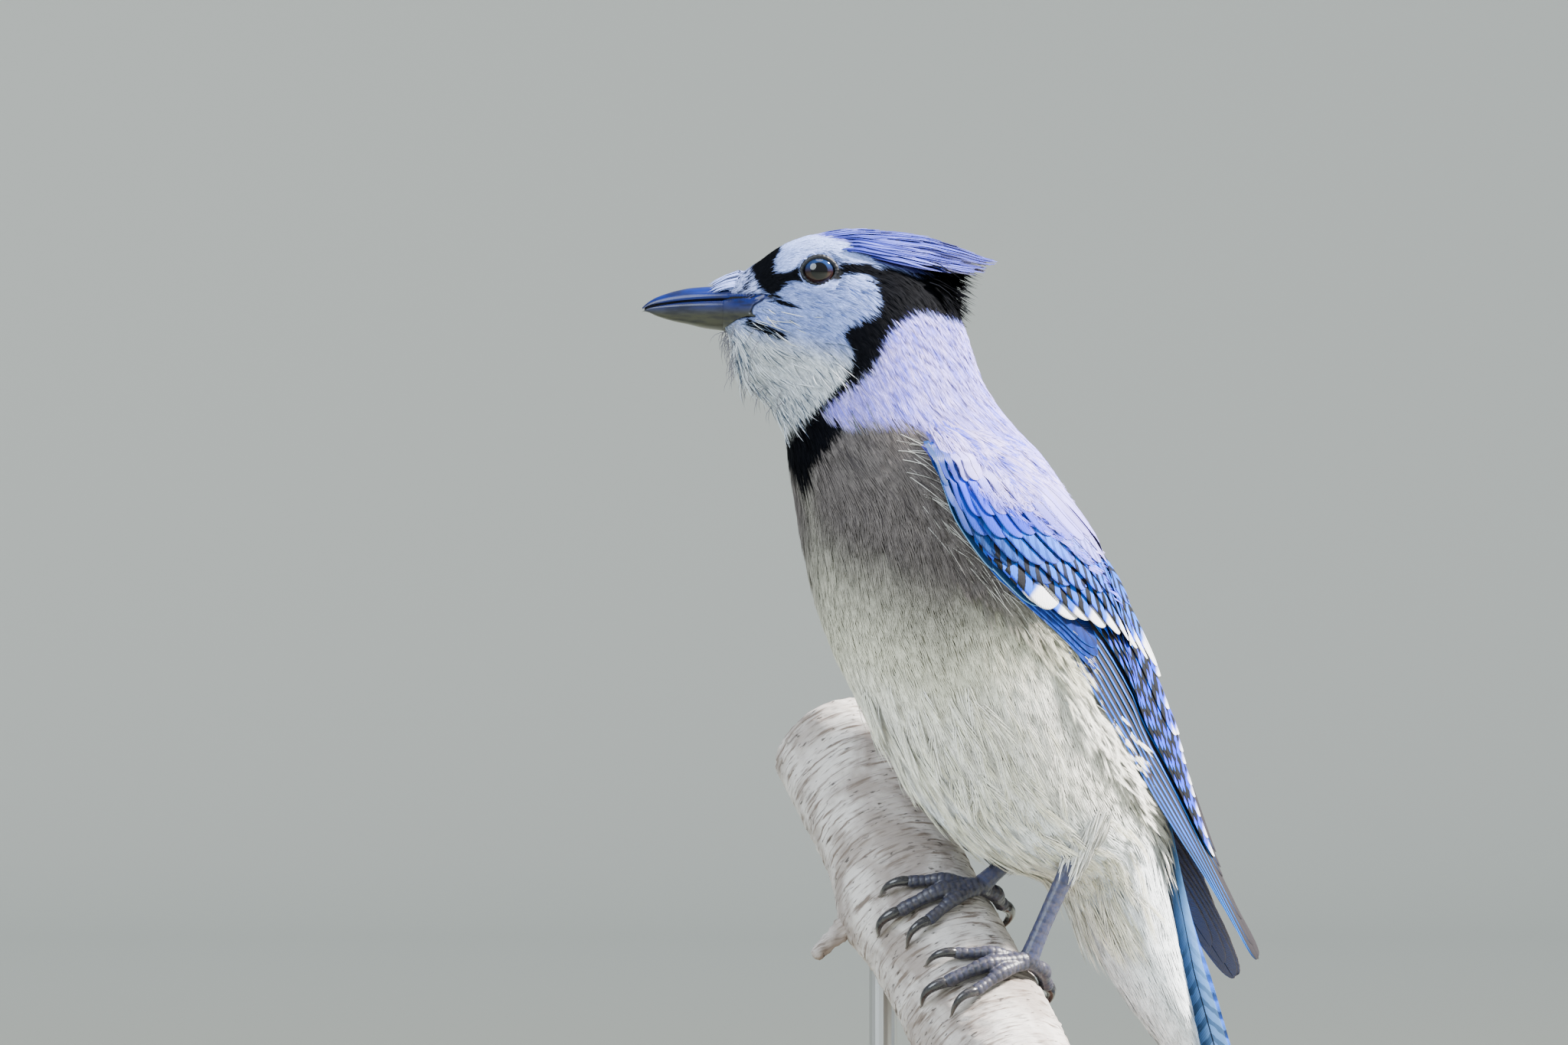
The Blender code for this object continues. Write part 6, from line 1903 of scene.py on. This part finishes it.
def nasal_tufts(draw, coat):
    """Tufts over the nostrils, which lie forward on the bill's base."""
    count = NASAL_TUFTS
    side = draw.uniform(-1, 1, count)
    row = draw.uniform(0, 1, count)
    height = 259.6 - 3.6 * np.abs(side) ** 1.5 - row * 0.8
    start = head_point(lerp(-55.5, -51.0, row), height, side * 5.2)
    end = head_point(lerp(-61.5, -57.0, row) + draw.normal(0, 0.5, count),
                     256.3 - 1.9 * np.abs(side) ** 1.6 + 1.0 * row, side * (4.3 + 0.6 * row))
    middle = (start + end) / 2 + UP * 0.9
    spine = curve(start[:, None], middle[:, None], end[:, None], NASAL_SHARES[None, :, None])
    outward = unit(head_point(0.0, 1.0, side * 1.4) - head_point(0.0, 0.0, 0.0))
    width = np.tile(NASAL_WIDTHS, (count, 1))
    colour = blend(NASAL_BLUE, BLACK, (draw.random(count) < 0.45) * 0.9)
    roots = np.stack((side * 0.02 + 0.03, 0.01 + row * 0.02), -1)
    tufts("nasal_tufts", spine, np.broadcast_to(outward[:, None], spine.shape), width, width * 0.4, roots,
          colour, coat, "white_plumage")


# Camera, backdrop and lights, in metres

CAMERA_DISTANCE = 3.4
SENSOR = 36.0
PAPER_NEAR, PAPER_FAR = (0.23, 0.25, 0.22), (0.70, 0.73, 0.68)
PAPER_SPAN = (1.0, 4.5)
# Half width of the floor, then where the sweep starts, its radius, steps and height.
BACKDROP_HALF, SWEEP_START, SWEEP_RADIUS, SWEEP_STEPS, SWEEP_TOP = 8.0, 4.4, 1.0, 12, 6.0
# Lamps: name, azimuth, elevation, distance, size, power and colour.
LAMPS = (
    ("key", 56.0, 44.0, 1.6, 0.30, 220.0, (1.0, 0.96, 0.90)),
    ("fill", -70.0, 26.0, 1.8, 1.2, 46.0, (0.80, 0.90, 1.0)),
    ("top", -30.0, 78.0, 1.8, 1.2, 16.0, (0.95, 0.97, 1.0)),
)
LAMP_TARGET = Vector((0.0, 0.0, 0.2))
SKY, SKY_STRENGTH = (0.80, 0.86, 0.95, 1.0), 0.66


def build_camera():
    """Camera with the photograph's framing, level with the middle of the picture."""
    across = (PHOTO_WIDTH / 2 - PHOTO_COLUMN) * PX
    target = (HEAD_WAY * across + UP * (PHOTO_TOP - PHOTO_HEIGHT / 2 * PX) + SHIFT) * MM
    data = bpy.data.cameras.new("camera")
    data.sensor_width = SENSOR
    data.lens = SENSOR * CAMERA_DISTANCE / (PHOTO_WIDTH * PX * MM)
    data.clip_start = 0.1
    data.clip_end = 100.0
    camera = bpy.data.objects.new("camera", data)
    camera.location = target - HEAD_SIDE * CAMERA_DISTANCE
    camera.rotation_euler = (math.pi / 2, 0.0, -TURN)
    bpy.context.scene.collection.objects.link(camera)
    bpy.context.scene.camera = camera


def build_backdrop():
    """Floor and wall in one sweep, which rises beyond every place where a camera stands."""
    floor = Finish("floor", 0.85, 0.2)
    far = floor.node("ShaderNodeVectorMath", operation="LENGTH")
    floor.feed(far.inputs[0], floor.place)
    paper = floor.colour(floor.mix(floor.span(far.outputs["Value"], *PAPER_SPAN), PAPER_NEAR, PAPER_FAR))
    rows = [(-BACKDROP_HALF, 0.0), (SWEEP_START, 0.0)]
    for turn in np.arange(1, SWEEP_STEPS + 1) / SWEEP_STEPS * math.pi / 2:
        rows.append((SWEEP_START + SWEEP_RADIUS * math.sin(turn), SWEEP_RADIUS * (1.0 - math.cos(turn))))
    rows.append((SWEEP_START + SWEEP_RADIUS, SWEEP_TOP))
    points = [(HEAD_SIDE * reach + HEAD_WAY * side + UP * rise) / MM - SHIFT
              for reach, rise in rows for side in (-BACKDROP_HALF, BACKDROP_HALF)]
    faces = []
    for row in range(len(rows) - 1):
        a = row * 2
        faces += [(a, a + 1, a + 3), (a, a + 3, a + 2)]
    new_mesh("backdrop", np.array(points), faces, paper)


def build_lights():
    for name, azimuth, elevation, distance, size, power, colour in LAMPS:
        data = bpy.data.lights.new(name, "AREA")
        data.shape = "DISK"
        data.size = size
        data.energy = power
        data.color = colour
        lamp = bpy.data.objects.new(name, data)
        around, up = math.radians(azimuth), math.radians(elevation)
        way = Vector((math.sin(around) * math.cos(up), -math.cos(around) * math.cos(up), math.sin(up)))
        lamp.location = LAMP_TARGET + way * distance
        lamp.rotation_euler = way.to_track_quat("Z", "Y").to_euler()
        bpy.context.scene.collection.objects.link(lamp)
    world = bpy.data.worlds.new("world")
    world.use_nodes = True
    background = world.node_tree.nodes["Background"]
    background.inputs["Color"].default_value = SKY
    background.inputs["Strength"].default_value = SKY_STRENGTH
    bpy.context.scene.world = world


def body_tree():
    """Search tree of the body that the wings must clear."""
    rows, sides = 60, 64
    place, angle = np.meshgrid(np.linspace(9.6, 24.6, rows), ring_of(sides), indexing="ij")
    points = surface(place, angle, 0.3).reshape(-1, 3)
    return BVHTree.FromPolygons([Vector(point) for point in points], loft_faces(rows, sides).tolist())


def build():
    build_camera()
    build_backdrop()
    build_lights()
    coat = coat_finish()
    build_skin(skin_finish())
    build_coat(coat)
    vane = feather_finish()
    tree = body_tree()
    for side_name in SIDES:
        build_wing(side_name, tree, vane, coat)
    build_tail(vane)
    crest_draw = np.random.default_rng(8)
    crown_feathers(crest_draw, vane)
    nape_feathers(crest_draw, coat)
    build_bill()
    build_eyes()
    hair_draw = np.random.default_rng(77)
    throat_hairs(hair_draw, coat)
    chin_bristles(hair_draw, coat)
    for side_name in SIDES:
        leg_feathers(hair_draw, side_name, coat)
    belly_fringe(hair_draw, coat)
    nasal_tufts(hair_draw, coat)
    build_legs()
    build_branch()
    finish_stand()


build()
